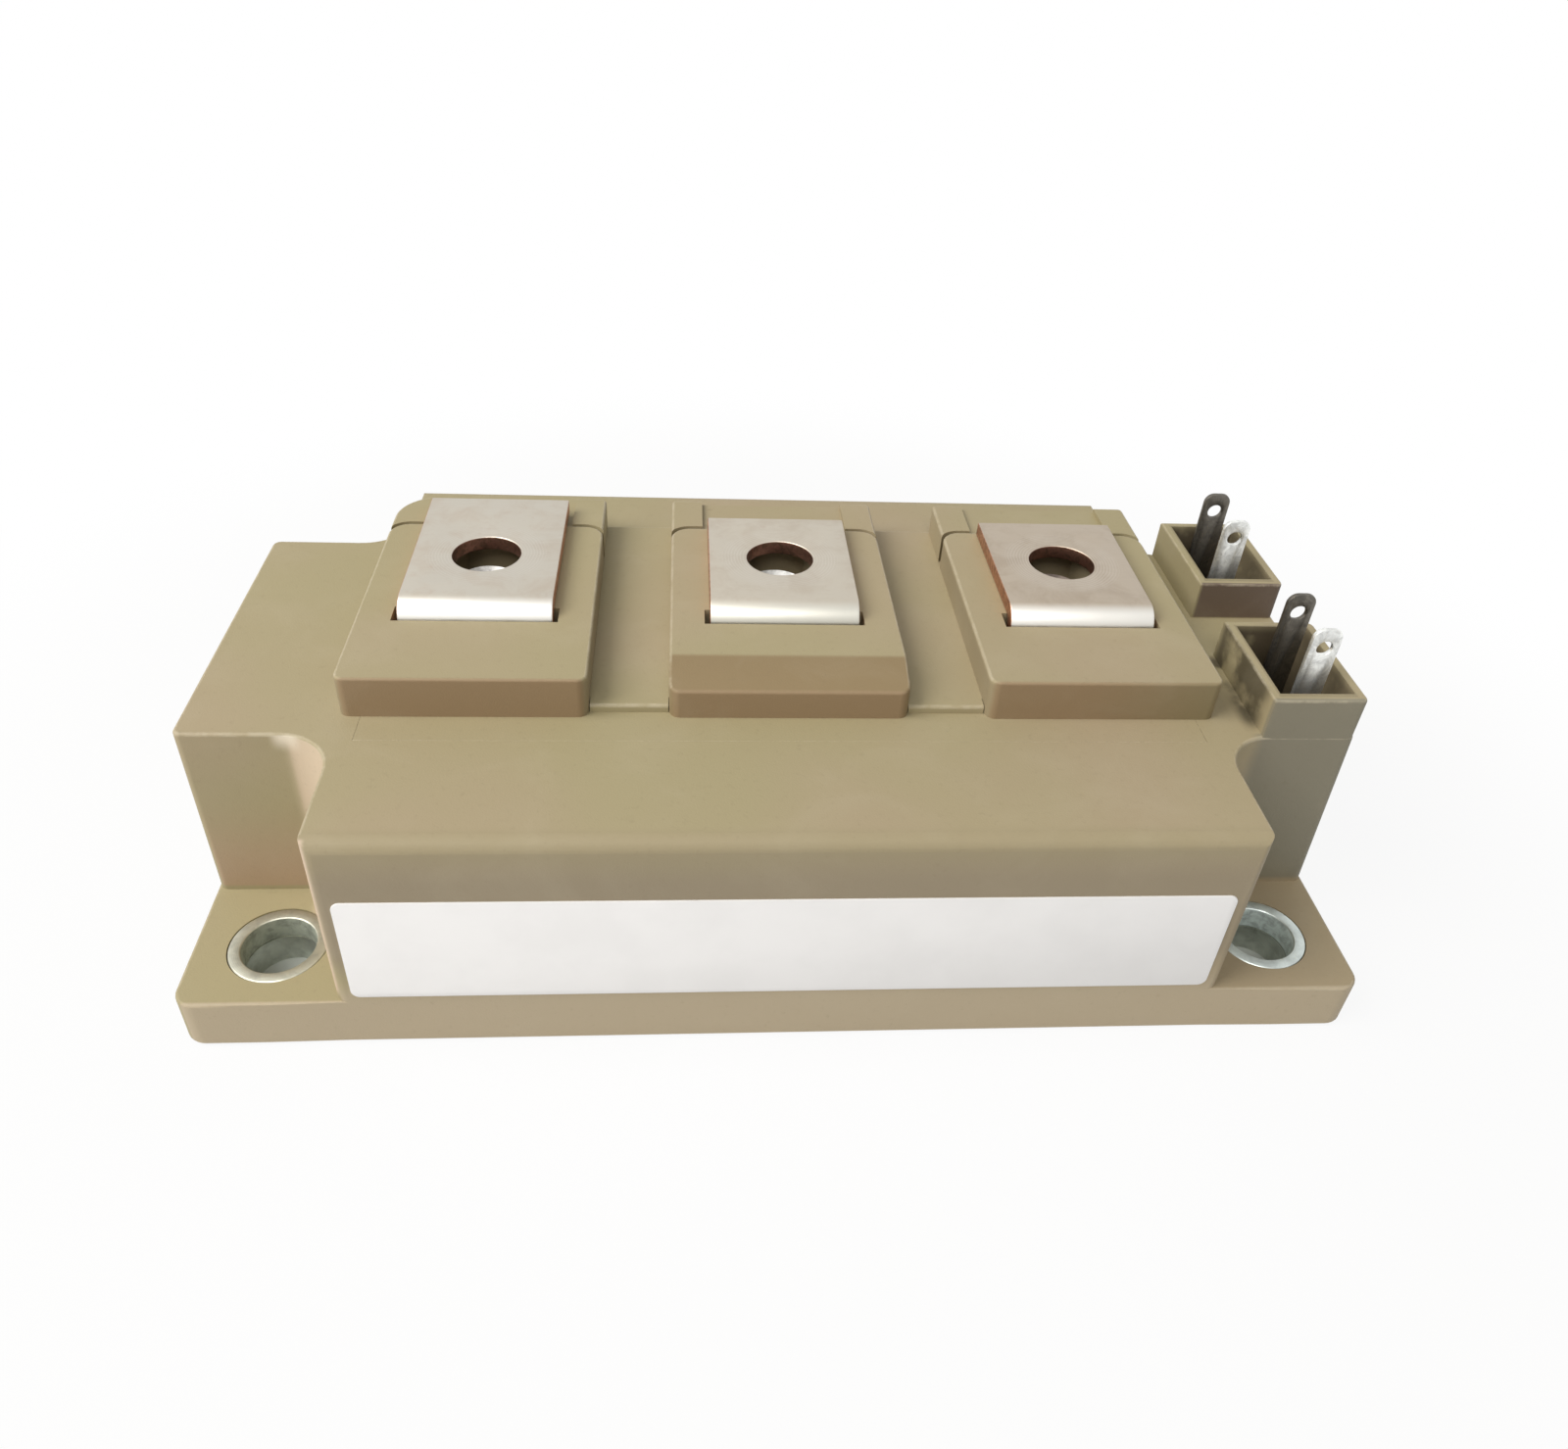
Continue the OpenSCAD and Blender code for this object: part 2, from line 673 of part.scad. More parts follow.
module backing(s) {
  color(copper_c) on_side(s)
    block([tile_x + tile_edge, -track_y, base_t], [tile_x + tile_l - tile_edge, track_y, backing_z]);
}

module tile(s) {
  color(ceramic_c) on_side(s)
    block([tile_x, -tile_w / 2, backing_z], [tile_x + tile_l, tile_w / 2, tile_z]);
}

module tracks(s) {
  color(copper_c) on_side(s) {
    block([emitter_x, -track_y, tile_z], [emitter_x + emitter_l, track_y, track_z]);
    block([collector_x, -track_y, tile_z], [collector_x + collector_l, track_y, track_z]);
    for (y = [tab_y(s > 0 ? 3 : 1), tab_y(s > 0 ? 4 : 2)]) {
      block([pad_x, y - pad_l, tile_z], [pad_x + pad_l, y + pad_l, track_z]);
    }
  }
}

module igbt_chips(s) {
  color(chip_c) on_side(s) for (y = igbt_y) {
    block([igbt_x - igbt_s / 2, y - igbt_s / 2, track_z], [igbt_x + igbt_s / 2, y + igbt_s / 2, chip_z]);
  }
}

module diode_chips(s) {
  color(chip_c) on_side(s) for (y = diode_y) {
    block([diode_x - diode_l / 2, y - igbt_s / 2, track_z],
      [diode_x + diode_l / 2, y + igbt_s / 2, chip_z]);
  }
}

// One looped bond wire along X, with a flattened foot at each end
module bond_wire(x0, x1, y, z0, z1) {
  half = (x1 - x0) / 2;
  r = (half * half + wire_rise * wire_rise) / (2 * wire_rise);
  reach = asin(half / r);
  top = max(z0, z1) + wire_d / 2 + wire_rise;
  for (f = [[x0, z0], [x1, z1]]) {
    block([f[0] - bond_l / 2, y - wire_d / 2, f[1]],
      [f[0] + bond_l / 2, y + wire_d / 2, max(z0, z1) + wire_d]);
  }
  translate([x0 + half, y, top - r]) rotate([90, 0, 0]) rotate([0, 0, 90 - reach])
    rotate_extrude(angle = 2 * reach) translate([r, 0]) circle(d = wire_d);
}

module bond_wires(s) {
  color(wire_c) on_side(s) {
    for (y = igbt_y, k = [-1.5:1:1.5]) {
      bond_wire(emitter_x + emitter_l / 2, igbt_x - igbt_s / 4, y + k * wire_pitch, track_z, chip_z);
    }
    for (y = diode_wire_y, k = [-1:1:1]) {
      bond_wire(igbt_x + igbt_s / 4, diode_x - diode_l / 4, y + k * wire_pitch, chip_z, chip_z);
    }
  }
}

// Silicone filling round the power stage
module gel() {
  x = block_x - wall_t;
  y = wall_y - wall_t;
  color(gel_c) difference() {
    block([-x, -y, base_t], [x, y, gel_h]);
    for (s = [-1, 1]) {
      on_side(s) block([tile_x - tile_gap, -tile_w / 2 - slot_gap, 0],
        [tile_x + tile_l + slot_gap, tile_w / 2 + slot_gap, gel_room]);
    }
    for (p = stations) {
      block([p - leg_w / 2 - slot_gap, -plate_front - slot_gap, 0],
        [p + leg_w / 2 + slot_gap, -plate_front + plate_t + slot_gap, gel_h + over]);
    }
    for (i = [1:4]) {
      translate([(i < 3 ? -1 : 1) * lead_x, tab_y(i), 0])
        cylinder(d = lead_d + 2 * slot_gap, h = gel_h + over);
    }
  }
}

module label() {
  color(paper_c) translate([0, -wall_y, label_low]) rotate([90, 0, 0])
    linear_extrude(height = label_t)
      plan(-block_x + label_inset, block_x - label_inset, 0, label_h, label_r, label_r);
}

base_plate();
case();
lid();
nut_holder(0);  // nut_holder_1
nut_holder(1);  // nut_holder_2
nut_holder(2);  // nut_holder_3
hex_nut(0);  // hex_nut_1
hex_nut(1);  // hex_nut_2
hex_nut(2);  // hex_nut_3
main_terminal(0);  // main_terminal_1
main_terminal(1);  // main_terminal_2
main_terminal(2);  // main_terminal_3
control_tab(1);  // control_tab_1
control_tab(2);  // control_tab_2
control_tab(3);  // control_tab_3
control_tab(4);  // control_tab_4
control_lead(1);  // control_lead_1
control_lead(2);  // control_lead_2
control_lead(3);  // control_lead_3
control_lead(4);  // control_lead_4
collar(-1, -1);  // collar_1
collar(1, -1);  // collar_2
collar(1, 1);  // collar_3
collar(-1, 1);  // collar_4
backing(-1);  // backing_left
backing(1);  // backing_right
tile(-1);  // tile_left
tile(1);  // tile_right
tracks(-1);  // tracks_left
tracks(1);  // tracks_right
igbt_chips(-1);  // igbt_chips_left
igbt_chips(1);  // igbt_chips_right
diode_chips(-1);  // diode_chips_left
diode_chips(1);  // diode_chips_right
bond_wires(-1);  // bond_wires_left
bond_wires(1);  // bond_wires_right
gel();
label();
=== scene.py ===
from math import cos, pi, radians, sin

import bpy
from mathutils import Matrix, Vector


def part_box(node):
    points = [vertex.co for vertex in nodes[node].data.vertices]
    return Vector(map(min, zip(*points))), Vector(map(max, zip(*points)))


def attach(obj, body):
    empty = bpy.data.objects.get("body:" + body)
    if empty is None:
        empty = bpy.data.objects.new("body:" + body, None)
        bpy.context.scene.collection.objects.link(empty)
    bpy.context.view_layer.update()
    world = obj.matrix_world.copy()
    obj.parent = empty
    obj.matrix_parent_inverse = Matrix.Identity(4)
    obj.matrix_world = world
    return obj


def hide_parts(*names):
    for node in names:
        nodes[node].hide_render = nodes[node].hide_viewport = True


# Millimetres, as on the module's drawing, to Blender's metres
MM = 0.001

# The camera: turn, height and tip in degrees, place in millimetres, lens on a sensor 36 mm wide
CAMERA_TURN, CAMERA_HEIGHT, CAMERA_TIP = -6.05, 37.64, 3.9
CAMERA_PLACE = (-9.747, -101.69, 91.44)
CAMERA_LENS = 27.752

# Where the lamps point, in metres
LAMP_AIM = (0, 0, 0.02)

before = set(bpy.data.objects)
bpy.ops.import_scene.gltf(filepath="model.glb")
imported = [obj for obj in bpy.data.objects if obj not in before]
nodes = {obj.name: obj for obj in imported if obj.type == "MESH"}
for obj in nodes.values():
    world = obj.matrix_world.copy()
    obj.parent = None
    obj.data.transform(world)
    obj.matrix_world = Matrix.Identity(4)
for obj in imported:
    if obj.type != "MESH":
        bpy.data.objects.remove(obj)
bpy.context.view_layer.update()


# ---------- the room: camera, lamps, table top ----------

def place_camera():
    """Over the label side of the module, a little left of its middle and tipped by a few degrees."""
    azimuth, elevation, roll = radians(CAMERA_TURN), radians(CAMERA_HEIGHT), radians(CAMERA_TIP)
    back = Vector((sin(azimuth) * cos(elevation), -cos(azimuth) * cos(elevation), sin(elevation)))
    right = (-back).cross(Vector((0, 0, 1))).normalized()
    up = right.cross(-back)
    right, up = cos(roll) * right + sin(roll) * up, cos(roll) * up - sin(roll) * right
    lens = bpy.data.cameras.new("module_camera")
    lens.sensor_fit = "HORIZONTAL"
    lens.sensor_width = 36
    lens.lens = CAMERA_LENS
    lens.clip_start, lens.clip_end = 0.005, 10
    camera = bpy.data.objects.new("module_camera", lens)
    facing = Matrix((right, up, back)).transposed().to_4x4()
    camera.matrix_world = Matrix.Translation(Vector(CAMERA_PLACE) * MM) @ facing
    bpy.context.scene.collection.objects.link(camera)
    bpy.context.scene.camera = camera


def hang_lamp(name, place, width, depth, power, tint):
    """A soft rectangular lamp that faces the middle of the module, in metres and watts."""
    light = bpy.data.lights.new(name, "AREA")
    light.shape = "RECTANGLE"
    light.size, light.size_y = width, depth
    light.energy = power
    light.color = tint
    lamp = bpy.data.objects.new(name, light)
    lamp.location = place
    lamp.rotation_euler = (Vector(place) - Vector(LAMP_AIM)).to_track_quat("Z", "Y").to_euler()
    bpy.context.scene.collection.objects.link(lamp)


# ---------- shader sockets that can be added and multiplied ----------

class Wire:
    """A value on its way through a finish. Sums and products with it add Math nodes."""

    def __init__(self, finish, socket):
        self.finish, self.socket = finish, socket

    def maths(self, operation, left, right, clamp=False):
        return self.finish.node("ShaderNodeMath", {"operation": operation, "use_clamp": clamp}, {0: left, 1: right})

    def __add__(self, other):
        return self.maths("ADD", self, other)

    def __radd__(self, other):
        return self.maths("ADD", other, self)

    def __sub__(self, other):
        return self.maths("SUBTRACT", self, other)

    def __rsub__(self, other):
        return self.maths("SUBTRACT", other, self)

    def __mul__(self, other):
        return self.maths("MULTIPLY", self, other)

    def __rmul__(self, other):
        return self.maths("MULTIPLY", other, self)

    def __abs__(self):
        return self.maths("ABSOLUTE", self, 0)

    def between(self, low, high):
        """0 below low and 1 above high, with a soft step between them."""
        return self.finish.node("ShaderNodeMapRange", {"interpolation_type": "SMOOTHSTEP"},
            {"Value": self, "From Min": low, "From Max": high})


class Finish:
    """One finish of the module: a material whose nodes are added with node() and by sums of Wires."""

    def __init__(self, name, **constants):
        self.material = bpy.data.materials.new(name)
        self.material.use_nodes = True
        self.tree = self.material.node_tree
        self.shader = self.tree.nodes["Principled BSDF"]
        for socket, value in constants.items():
            self.shader.inputs[socket.replace("_", " ")].default_value = value
        self.place = self.node("ShaderNodeTexCoord", out="Object")

    def node(self, kind, settings=None, sockets=None, out=0):
        """Adds any node: its settings first, then the values or links of its sockets. Gives one output."""
        made = self.tree.nodes.new(kind)
        for name, value in (settings or {}).items():
            setattr(made, name, value)
        for name, value in (sockets or {}).items():
            if isinstance(value, Wire):
                self.tree.links.new(value.socket, made.inputs[name])
            else:
                made.inputs[name].default_value = value
        return Wire(self, made.outputs[out])

    def feed(self, **wires):
        """Joins wires to the shader's own sockets, such as Base_Color or Roughness."""
        for socket, wire in wires.items():
            self.tree.links.new(wire.socket, self.shader.inputs[socket.replace("_", " ")])
        return self.material

    def stretch(self, along=(1, 1, 1), centre=(0, 0, 0), turn=(0, 0, 0)):
        """Object coordinates in millimetres about a centre, scaled along each axis."""
        return self.node("ShaderNodeMapping", {"vector_type": "POINT"}, {"Vector": self.place,
            "Location": tuple(-c * a for c, a in zip(centre, along)), "Rotation": turn,
            "Scale": tuple(1000 * a for a in along)})

    def cloud(self, size, detail=3, rough=0.5, where=None, twist=0):
        """Noise from 0 to 1 whose blotches are about that many millimetres across."""
        return self.node("ShaderNodeTexNoise", {}, {"Vector": where or self.stretch(), "Scale": 1 / size,
            "Detail": detail, "Roughness": rough, "Distortion": twist})

    def grains(self, size):
        """Distance to the nearest of many scattered points, about that many millimetres apart."""
        return self.node("ShaderNodeTexVoronoi", {"feature": "F1"}, {"Vector": self.stretch(), "Scale": 1 / size})

    def axis(self, letter):
        """One object coordinate in millimetres."""
        return self.node("ShaderNodeSeparateXYZ", {}, {"Vector": self.stretch()}, "XYZ".index(letter))

    def reach(self, centre=(0, 0, 0), along=(1, 1, 1)):
        """Distance from a centre in millimetres, along some axes only if the others are given 0."""
        return self.node("ShaderNodeVectorMath", {"operation": "LENGTH"},
            {0: self.stretch(along=along, centre=centre)}, "Value")

    def wave(self, value):
        """The sine of a value."""
        return self.node("ShaderNodeMath", {"operation": "SINE"}, {0: value})

    def zone(self, spans):
        """A mask of 1 inside a box with soft sides, in millimetres.

        Each axis is given where the mask fades in and where it fades out, or None where the box is open.
        "|X|" and "|Y|" count both sides alike.
        """
        mask = None
        for axis, (fade_in, fade_out) in spans.items():
            place = abs(self.axis(axis[1])) if axis[0] == "|" else self.axis(axis)
            sides = [place.between(*fade_in)] if fade_in else []
            sides += [1 - place.between(*fade_out)] if fade_out else []
            for side in sides:
                mask = side if mask is None else mask * side
        return mask

    def blend(self, mask, first, second):
        """Two colours, or a colour and a wire, mixed by a mask."""
        def colour(c):
            return c if isinstance(c, Wire) else (*c, 1)
        return self.node("ShaderNodeMix", {"data_type": "RGBA", "blend_type": "MIX", "clamp_factor": True},
            {0: mask, 6: colour(first), 7: colour(second)}, 2)

    def relief(self, height, depth, under=None):
        """A bump of that depth in millimetres, on top of another bump if one is given."""
        sockets = {"Height": height, "Distance": depth * MM, "Strength": 1.0}
        if under:
            sockets["Normal"] = under
        return self.node("ShaderNodeBump", {}, sockets)


# ---------- finishes ----------

KHAKI = (0.360, 0.300, 0.180)
KHAKI_PINK = (0.378, 0.298, 0.200)
KHAKI_OLIVE = (0.345, 0.305, 0.168)
KHAKI_PALE = (0.500, 0.440, 0.320)
KHAKI_DARK = (0.190, 0.150, 0.090)


def moulding(name, worn=False, local=()):
    """Khaki filled polyester: drifting tone, mineral specks, a fine moulded grain and a little handling grime.

    Each entry of local is a zone, the size, detail and limits of a cloud that breaks it up, or None, and its colour.
    """
    f = Finish(name, Specular_IOR_Level=0.35)
    drift = f.cloud(34, detail=2)
    swirl = f.cloud(9, detail=4, rough=0.6, twist=0.6)
    fleck = f.cloud(0.55, detail=2)
    pore = f.grains(0.32)
    tone = f.blend(drift.between(0.35, 0.68), KHAKI_OLIVE, KHAKI_PINK)
    tone = f.blend(0.45, tone, KHAKI)
    for spans, patches, colour in local:
        mask = f.zone(spans)
        if patches:
            size, detail, low, high = patches
            mask = mask * f.cloud(size, detail=detail).between(low, high)
        tone = f.blend(mask, tone, colour)
    tone = f.blend(swirl.between(0.45, 0.75) * 0.12, tone, KHAKI_PALE)
    tone = f.blend(fleck.between(0.58, 0.80) * 0.12, tone, KHAKI_DARK)
    grime = f.cloud(2.2, detail=5, rough=0.65).between(0.62, 0.80)
    tone = f.blend(grime * 0.15, tone, KHAKI_DARK)
    if worn:
        rub = f.cloud(1.6, detail=4, rough=0.7).between(0.30, 0.66)
        tone = f.blend(rub * 0.45, tone, KHAKI_PALE)
    rough = 0.52 + 0.14 * f.cloud(4, detail=4) - (0.10 if worn else 0.0) + grime * 0.08
    grain = f.cloud(0.16, detail=3, rough=0.6)
    normal = f.relief(swirl, 0.04)
    normal = f.relief(pore.between(0.0, 0.35), 0.005, normal)
    normal = f.relief(grain, 0.016, normal)
    return f.feed(Base_Color=tone, Roughness=rough, Normal=normal)


def nickel(name, centre, tone_a, tone_b, bend_highlight_tone):
    """Thin satin nickel over copper: rolling lines, rub rings round the screw hole, faint pink where it wears, and a
    paler bend that paints its highlight.
    """
    f = Finish(name, Metallic=1.0)
    lines = f.cloud(0.55, detail=4, rough=0.7, where=f.stretch(along=(0.12, 1.6, 1.6)))
    cross = f.cloud(0.8, detail=3, rough=0.6, where=f.stretch(along=(1.5, 0.10, 1.0), turn=(0, 0, 0.35)))
    blotch = f.cloud(3.4, detail=5, rough=0.62, twist=0.4)
    reach = f.reach(centre, (1, 1, 0))
    rings = f.wave(reach * 21 + blotch * 9)
    rubbed = reach.between(3.2, 3.6) * (1 - reach.between(5.2, 6.4))
    tone = f.blend(blotch.between(0.40, 0.72), tone_a, tone_b)
    tone = f.blend(f.cloud(0.9, detail=3).between(0.60, 0.82) * 0.4, tone, (0.50, 0.40, 0.32))
    tone = f.blend(rubbed * rings.between(0.2, 1.0) * 0.25, tone, (0.70, 0.66, 0.60))
    # The bend gets a paler tone, a painted highlight
    bend = 1 - f.axis("Y").between(-4.0, -2.7)
    tone = f.blend(bend, tone, bend_highlight_tone)
    rough = 0.30 + 0.16 * lines + 0.14 * blotch - rubbed * 0.04
    normal = f.relief(lines, 0.004)
    normal = f.relief(cross, 0.003, normal)
    normal = f.relief(blotch, 0.012, normal)
    return f.feed(Base_Color=tone, Roughness=rough, Normal=normal)


def raw_copper(name, tone_a=(0.52, 0.27, 0.16), tone_b=(0.30, 0.15, 0.09), sheared=True):
    """Copper left bare by the press tool: reddish, with brown oxide and vertical shear lines."""
    f = Finish(name, Metallic=1.0)
    oxide = f.cloud(0.7, detail=5, rough=0.65, twist=0.5)
    tone = f.blend(oxide.between(0.38, 0.66), tone_a, tone_b)
    lines = f.cloud(0.25, detail=3, where=f.stretch(along=(2.0, 2.0, 0.15) if sheared else (0.2, 2.0, 2.0)))
    normal = f.relief(lines, 0.010)
    normal = f.relief(oxide, 0.008, normal)
    return f.feed(Base_Color=tone, Roughness=0.34 + 0.26 * oxide, Normal=normal)


def zinc(name, tone, turned=None):
    """Zinc-plated steel: cool grey with passivation cloud, and lathe rings where a centre is given."""
    f = Finish(name, Metallic=1.0)
    cloud = f.cloud(1.8, detail=5, rough=0.6, twist=0.3)
    speck = f.cloud(0.30, detail=3)
    dull = tuple(0.72 * c for c in tone)
    warm = (tone[0] * 0.92, tone[1] * 0.84, tone[2] * 0.66)
    colour = f.blend(cloud.between(0.38, 0.70), tone, dull)
    colour = f.blend(speck.between(0.60, 0.78) * 0.35, colour, warm)
    normal = f.relief(speck, 0.006)
    if turned:
        normal = f.relief(f.wave(f.reach(turned, (1, 1, 0)) * 40 + cloud * 3), 0.003, normal)
    return f.feed(Base_Color=colour, Roughness=0.30 + 0.25 * cloud, Normal=normal)


def tapped(name, tone):
    """The inside of a bored hole: a dull cut surface that scatters light, stained in patches."""
    f = Finish(name, Metallic=0.2)
    stain = f.cloud(1.1, detail=5, rough=0.65, twist=0.4)
    speck = f.cloud(0.30, detail=3)
    colour = f.blend(stain.between(0.40, 0.66), tone, tuple(0.62 * c for c in tone))
    colour = f.blend(speck.between(0.60, 0.78) * 0.3, colour, tuple(0.5 * c for c in tone))
    return f.feed(Base_Color=colour, Roughness=0.36 + 0.25 * stain, Normal=f.relief(stain, 0.010))


def tin(name, tone):
    """Dull tin on brass: soft grey with finger marks and a warm cast along its scratches."""
    f = Finish(name, Metallic=1.0)
    smear = f.cloud(1.1, detail=5, rough=0.65, twist=0.8)
    scratch = f.cloud(0.25, detail=3, where=f.stretch(along=(2.2, 1.0, 0.18)))
    colour = f.blend(smear.between(0.35, 0.70), tone, tuple(0.62 * c for c in tone))
    colour = f.blend(scratch.between(0.58, 0.75) * 0.3, colour, (0.50, 0.41, 0.28))
    normal = f.relief(scratch, 0.006)
    normal = f.relief(smear, 0.010, normal)
    return f.feed(Base_Color=colour, Roughness=0.30 + 0.28 * smear, Normal=normal)


def film(name):
    """White polyester label film: clean, slightly mottled, with a soft gloss."""
    f = Finish(name, Specular_IOR_Level=0.5)
    mottle = f.cloud(6, detail=4)
    fibre = f.cloud(0.35, detail=3, where=f.stretch(along=(0.5, 1, 1.3)))
    colour = f.blend(mottle.between(0.35, 0.70), (0.845, 0.84, 0.84), (0.815, 0.81, 0.81))
    colour = f.blend(fibre.between(0.60, 0.80) * 0.15, colour, (0.80, 0.795, 0.78))
    normal = f.relief(mottle, 0.03)
    normal = f.relief(fibre, 0.003, normal)
    return f.feed(Base_Color=colour, Roughness=0.40 + 0.12 * mottle, Normal=normal)


def fired_ceramic(name):
    """Unglazed alumina: warm white with fine pits."""
    f = Finish(name)
    cloud = f.cloud(5, detail=4)
    pit = f.grains(0.20)
    colour = f.blend(cloud, (0.86, 0.86, 0.82), (0.78, 0.78, 0.73))
    normal = f.relief(pit.between(0.0, 0.3), 0.006)
    return f.feed(Base_Color=colour, Roughness=0.62 + 0.10 * cloud, Normal=normal)


def silicon(name):
    """Metallised die: grey-blue with the fine cell stripes of the emitter side."""
    f = Finish(name, Metallic=0.8)
    stripe = f.wave(f.axis("Y") * 12).between(0.1, 0.9)
    cloud = f.cloud(1.5, detail=4)
    colour = f.blend(stripe * 0.45, (0.30, 0.33, 0.38), (0.52, 0.54, 0.58))
    colour = f.blend(cloud.between(0.55, 0.8) * 0.4, colour, (0.20, 0.21, 0.26))
    return f.feed(Base_Color=colour, Roughness=0.28 + 0.14 * cloud, Normal=f.relief(stripe, 0.004))


def drawn_wire(name, tone):
    """Bright drawn wire with die lines."""
    f = Finish(name, Metallic=1.0)
    lines = f.cloud(0.12, detail=2, where=f.stretch(along=(0.08, 1, 1)))
    cloud = f.cloud(0.9, detail=4)
    colour = f.blend(cloud.between(0.4, 0.7), tone, tuple(0.75 * c for c in tone))
    return f.feed(Base_Color=colour, Roughness=0.22 + 0.18 * cloud, Normal=f.relief(lines, 0.004))


def soft_gel(name):
    """Clear silicone gel, slightly milky, with a few trapped bubbles."""
    f = Finish(name, Roughness=0.12, IOR=1.41)
    haze = f.cloud(7, detail=3)
    bubble = f.grains(2.4)
    colour = f.blend(haze, (0.74, 0.78, 0.80), (0.66, 0.71, 0.74))
    colour = f.blend(1 - bubble.between(0.05, 0.12), colour, (0.90, 0.92, 0.93))
    return f.feed(Base_Color=colour, Alpha=0.38 + 0.14 * haze, Normal=f.relief(haze, 0.05))


def table_top(name):
    """Plain pale paper under the module: white to the eye, it still takes the module's soft shadow, and beneath the
    module it is painted darker as shade.
    """
    f = Finish(name, Roughness=0.9, Specular_IOR_Level=0.1)
    fibre = f.cloud(14, detail=3)
    # No glow under the module itself, and the paper there is painted darker as shade, so that its screw holes look
    # down on shaded paper
    under = f.zone({"|X|": (None, (52.0, 53.5)), "|Y|": (None, (29.0, 30.5))})
    paper = f.blend(fibre, (0.72, 0.72, 0.715), (0.69, 0.69, 0.685))
    f.feed(Base_Color=f.blend(under, paper, (0.42, 0.44, 0.41)))
    camera, glossy, passing = (
        f.node("ShaderNodeLightPath", out=f"Is {kind} Ray") for kind in ("Camera", "Glossy", "Transmission"))
    seen = camera + glossy + passing
    glow = f.node("ShaderNodeEmission", {}, {"Color": (1, 1, 1, 1), "Strength": 1.0})
    far = f.reach().between(75, 125)
    share = seen.maths("MULTIPLY", seen, (1 - under) * (0.90 + 0.10 * far), clamp=True)
    mixed = f.node("ShaderNodeMixShader", {}, {0: share, 1: Wire(f, f.shader.outputs[0]), 2: glow})
    out = next(n for n in f.tree.nodes if n.type == "OUTPUT_MATERIAL")
    f.tree.links.new(mixed.socket, out.inputs["Surface"])
    return f.material


# ---------- modelling by hand ----------

def only(*pieces):
    """Selects these pieces and nothing else, the first one active."""
    if bpy.context.object and bpy.context.object.mode != "OBJECT":
        bpy.ops.object.mode_set(mode="OBJECT")
    bpy.ops.object.select_all(action="DESELECT")
    for piece in pieces:
        piece.select_set(True)
    bpy.context.view_layer.objects.active = pieces[0]


def settle(piece, name):
    """Names a piece and puts its place into its mesh, so that the object itself sits at the origin."""
    only(piece)
    bpy.ops.object.transform_apply(location=True, rotation=True, scale=True)
    piece.name = piece.data.name = name
    return piece


def press(piece, kind, **settings):
    """Adds one modifier to a piece and applies it."""
    only(piece)
    modifier = piece.modifiers.new(kind.lower(), kind)
    for key, value in settings.items():
        setattr(modifier, key, value)
    bpy.ops.object.modifier_apply(modifier=modifier.name)


def pick(piece, mode, test):
    """In edit mode, selects the faces or edges of a piece that pass a test, and nothing else."""
    only(piece)
    bpy.ops.object.mode_set(mode="EDIT")
    bpy.ops.mesh.select_mode(type=mode)
    bpy.ops.mesh.select_all(action="DESELECT")
    bpy.ops.object.mode_set(mode="OBJECT")
    for part in (piece.data.polygons if mode == "FACE" else piece.data.edges):
        part.select = test(part)
    bpy.ops.object.mode_set(mode="EDIT")


def done():
    """Leaves edit mode."""
    bpy.ops.object.mode_set(mode="OBJECT")


def trim_copy(node, name):
    """A copy of a solid's skin with its seams merged and its flats made whole again, ready for edge work."""
    piece = bpy.data.objects.new(name, nodes[node].data.copy())
    bpy.context.scene.collection.objects.link(piece)
    piece.data.materials.clear()
    only(piece)
    bpy.ops.mesh.customdata_custom_splitnormals_clear()
    bpy.ops.object.mode_set(mode="EDIT")
    bpy.ops.mesh.select_all(action="SELECT")
    bpy.ops.mesh.remove_doubles(threshold=0.002 * MM)
    bpy.ops.mesh.dissolve_limited(angle_limit=radians(0.4), use_dissolve_boundaries=False)
    done()
    return piece


def slab(name, low, high):
    """A square blank between two corners in millimetres."""
    low, high = Vector(low), Vector(high)
    bpy.ops.object.select_all(action="DESELECT")
    bpy.ops.mesh.primitive_cube_add(size=1, location=(low + high) / 2 * MM, scale=(high - low) * MM)
    return settle(bpy.context.object, name)


def rod(name, radius, foot, height, sides=64, turn=(0, 0, 0)):
    """A round or many-sided bar that stands on its foot, in millimetres."""
    bpy.ops.object.select_all(action="DESELECT")
    bpy.ops.mesh.primitive_cylinder_add(vertices=sides, radius=radius * MM, depth=height * MM,
        location=(Vector(foot) + Vector((0, 0, height / 2))) * MM, rotation=turn)
    return settle(bpy.context.object, name)


def cut(piece, tool, how="DIFFERENCE"):
    """Cuts a piece with a tool, or joins or trims it with how, and throws the tool away."""
    press(piece, "BOOLEAN", operation=how, solver="EXACT", object=tool)
    bpy.data.objects.remove(tool)


def round_over(piece, width, test, segments=3):
    """Rounds the edges whose ends both pass a test of their place in millimetres; test also gets the direction."""
    corners = piece.data.vertices

    def chosen(edge):
        a, b = (corners[v].co / MM for v in edge.vertices)
        return test(a, b, (b - a).normalized())
    pick(piece, "EDGE", chosen)
    bpy.ops.mesh.bevel(offset=width * MM, offset_type="OFFSET", segments=segments, affect="EDGES",
        clamp_overlap=False)
    done()


def upright(where=lambda a: True):
    """Chooses edges that stand upright at a place."""
    return lambda a, b, along: abs(along.z) > 0.9 and where(a)


def rim(height):
    """Chooses edges that lie at a height."""
    return lambda a, b, along: near(a.z, height) and near(b.z, height)


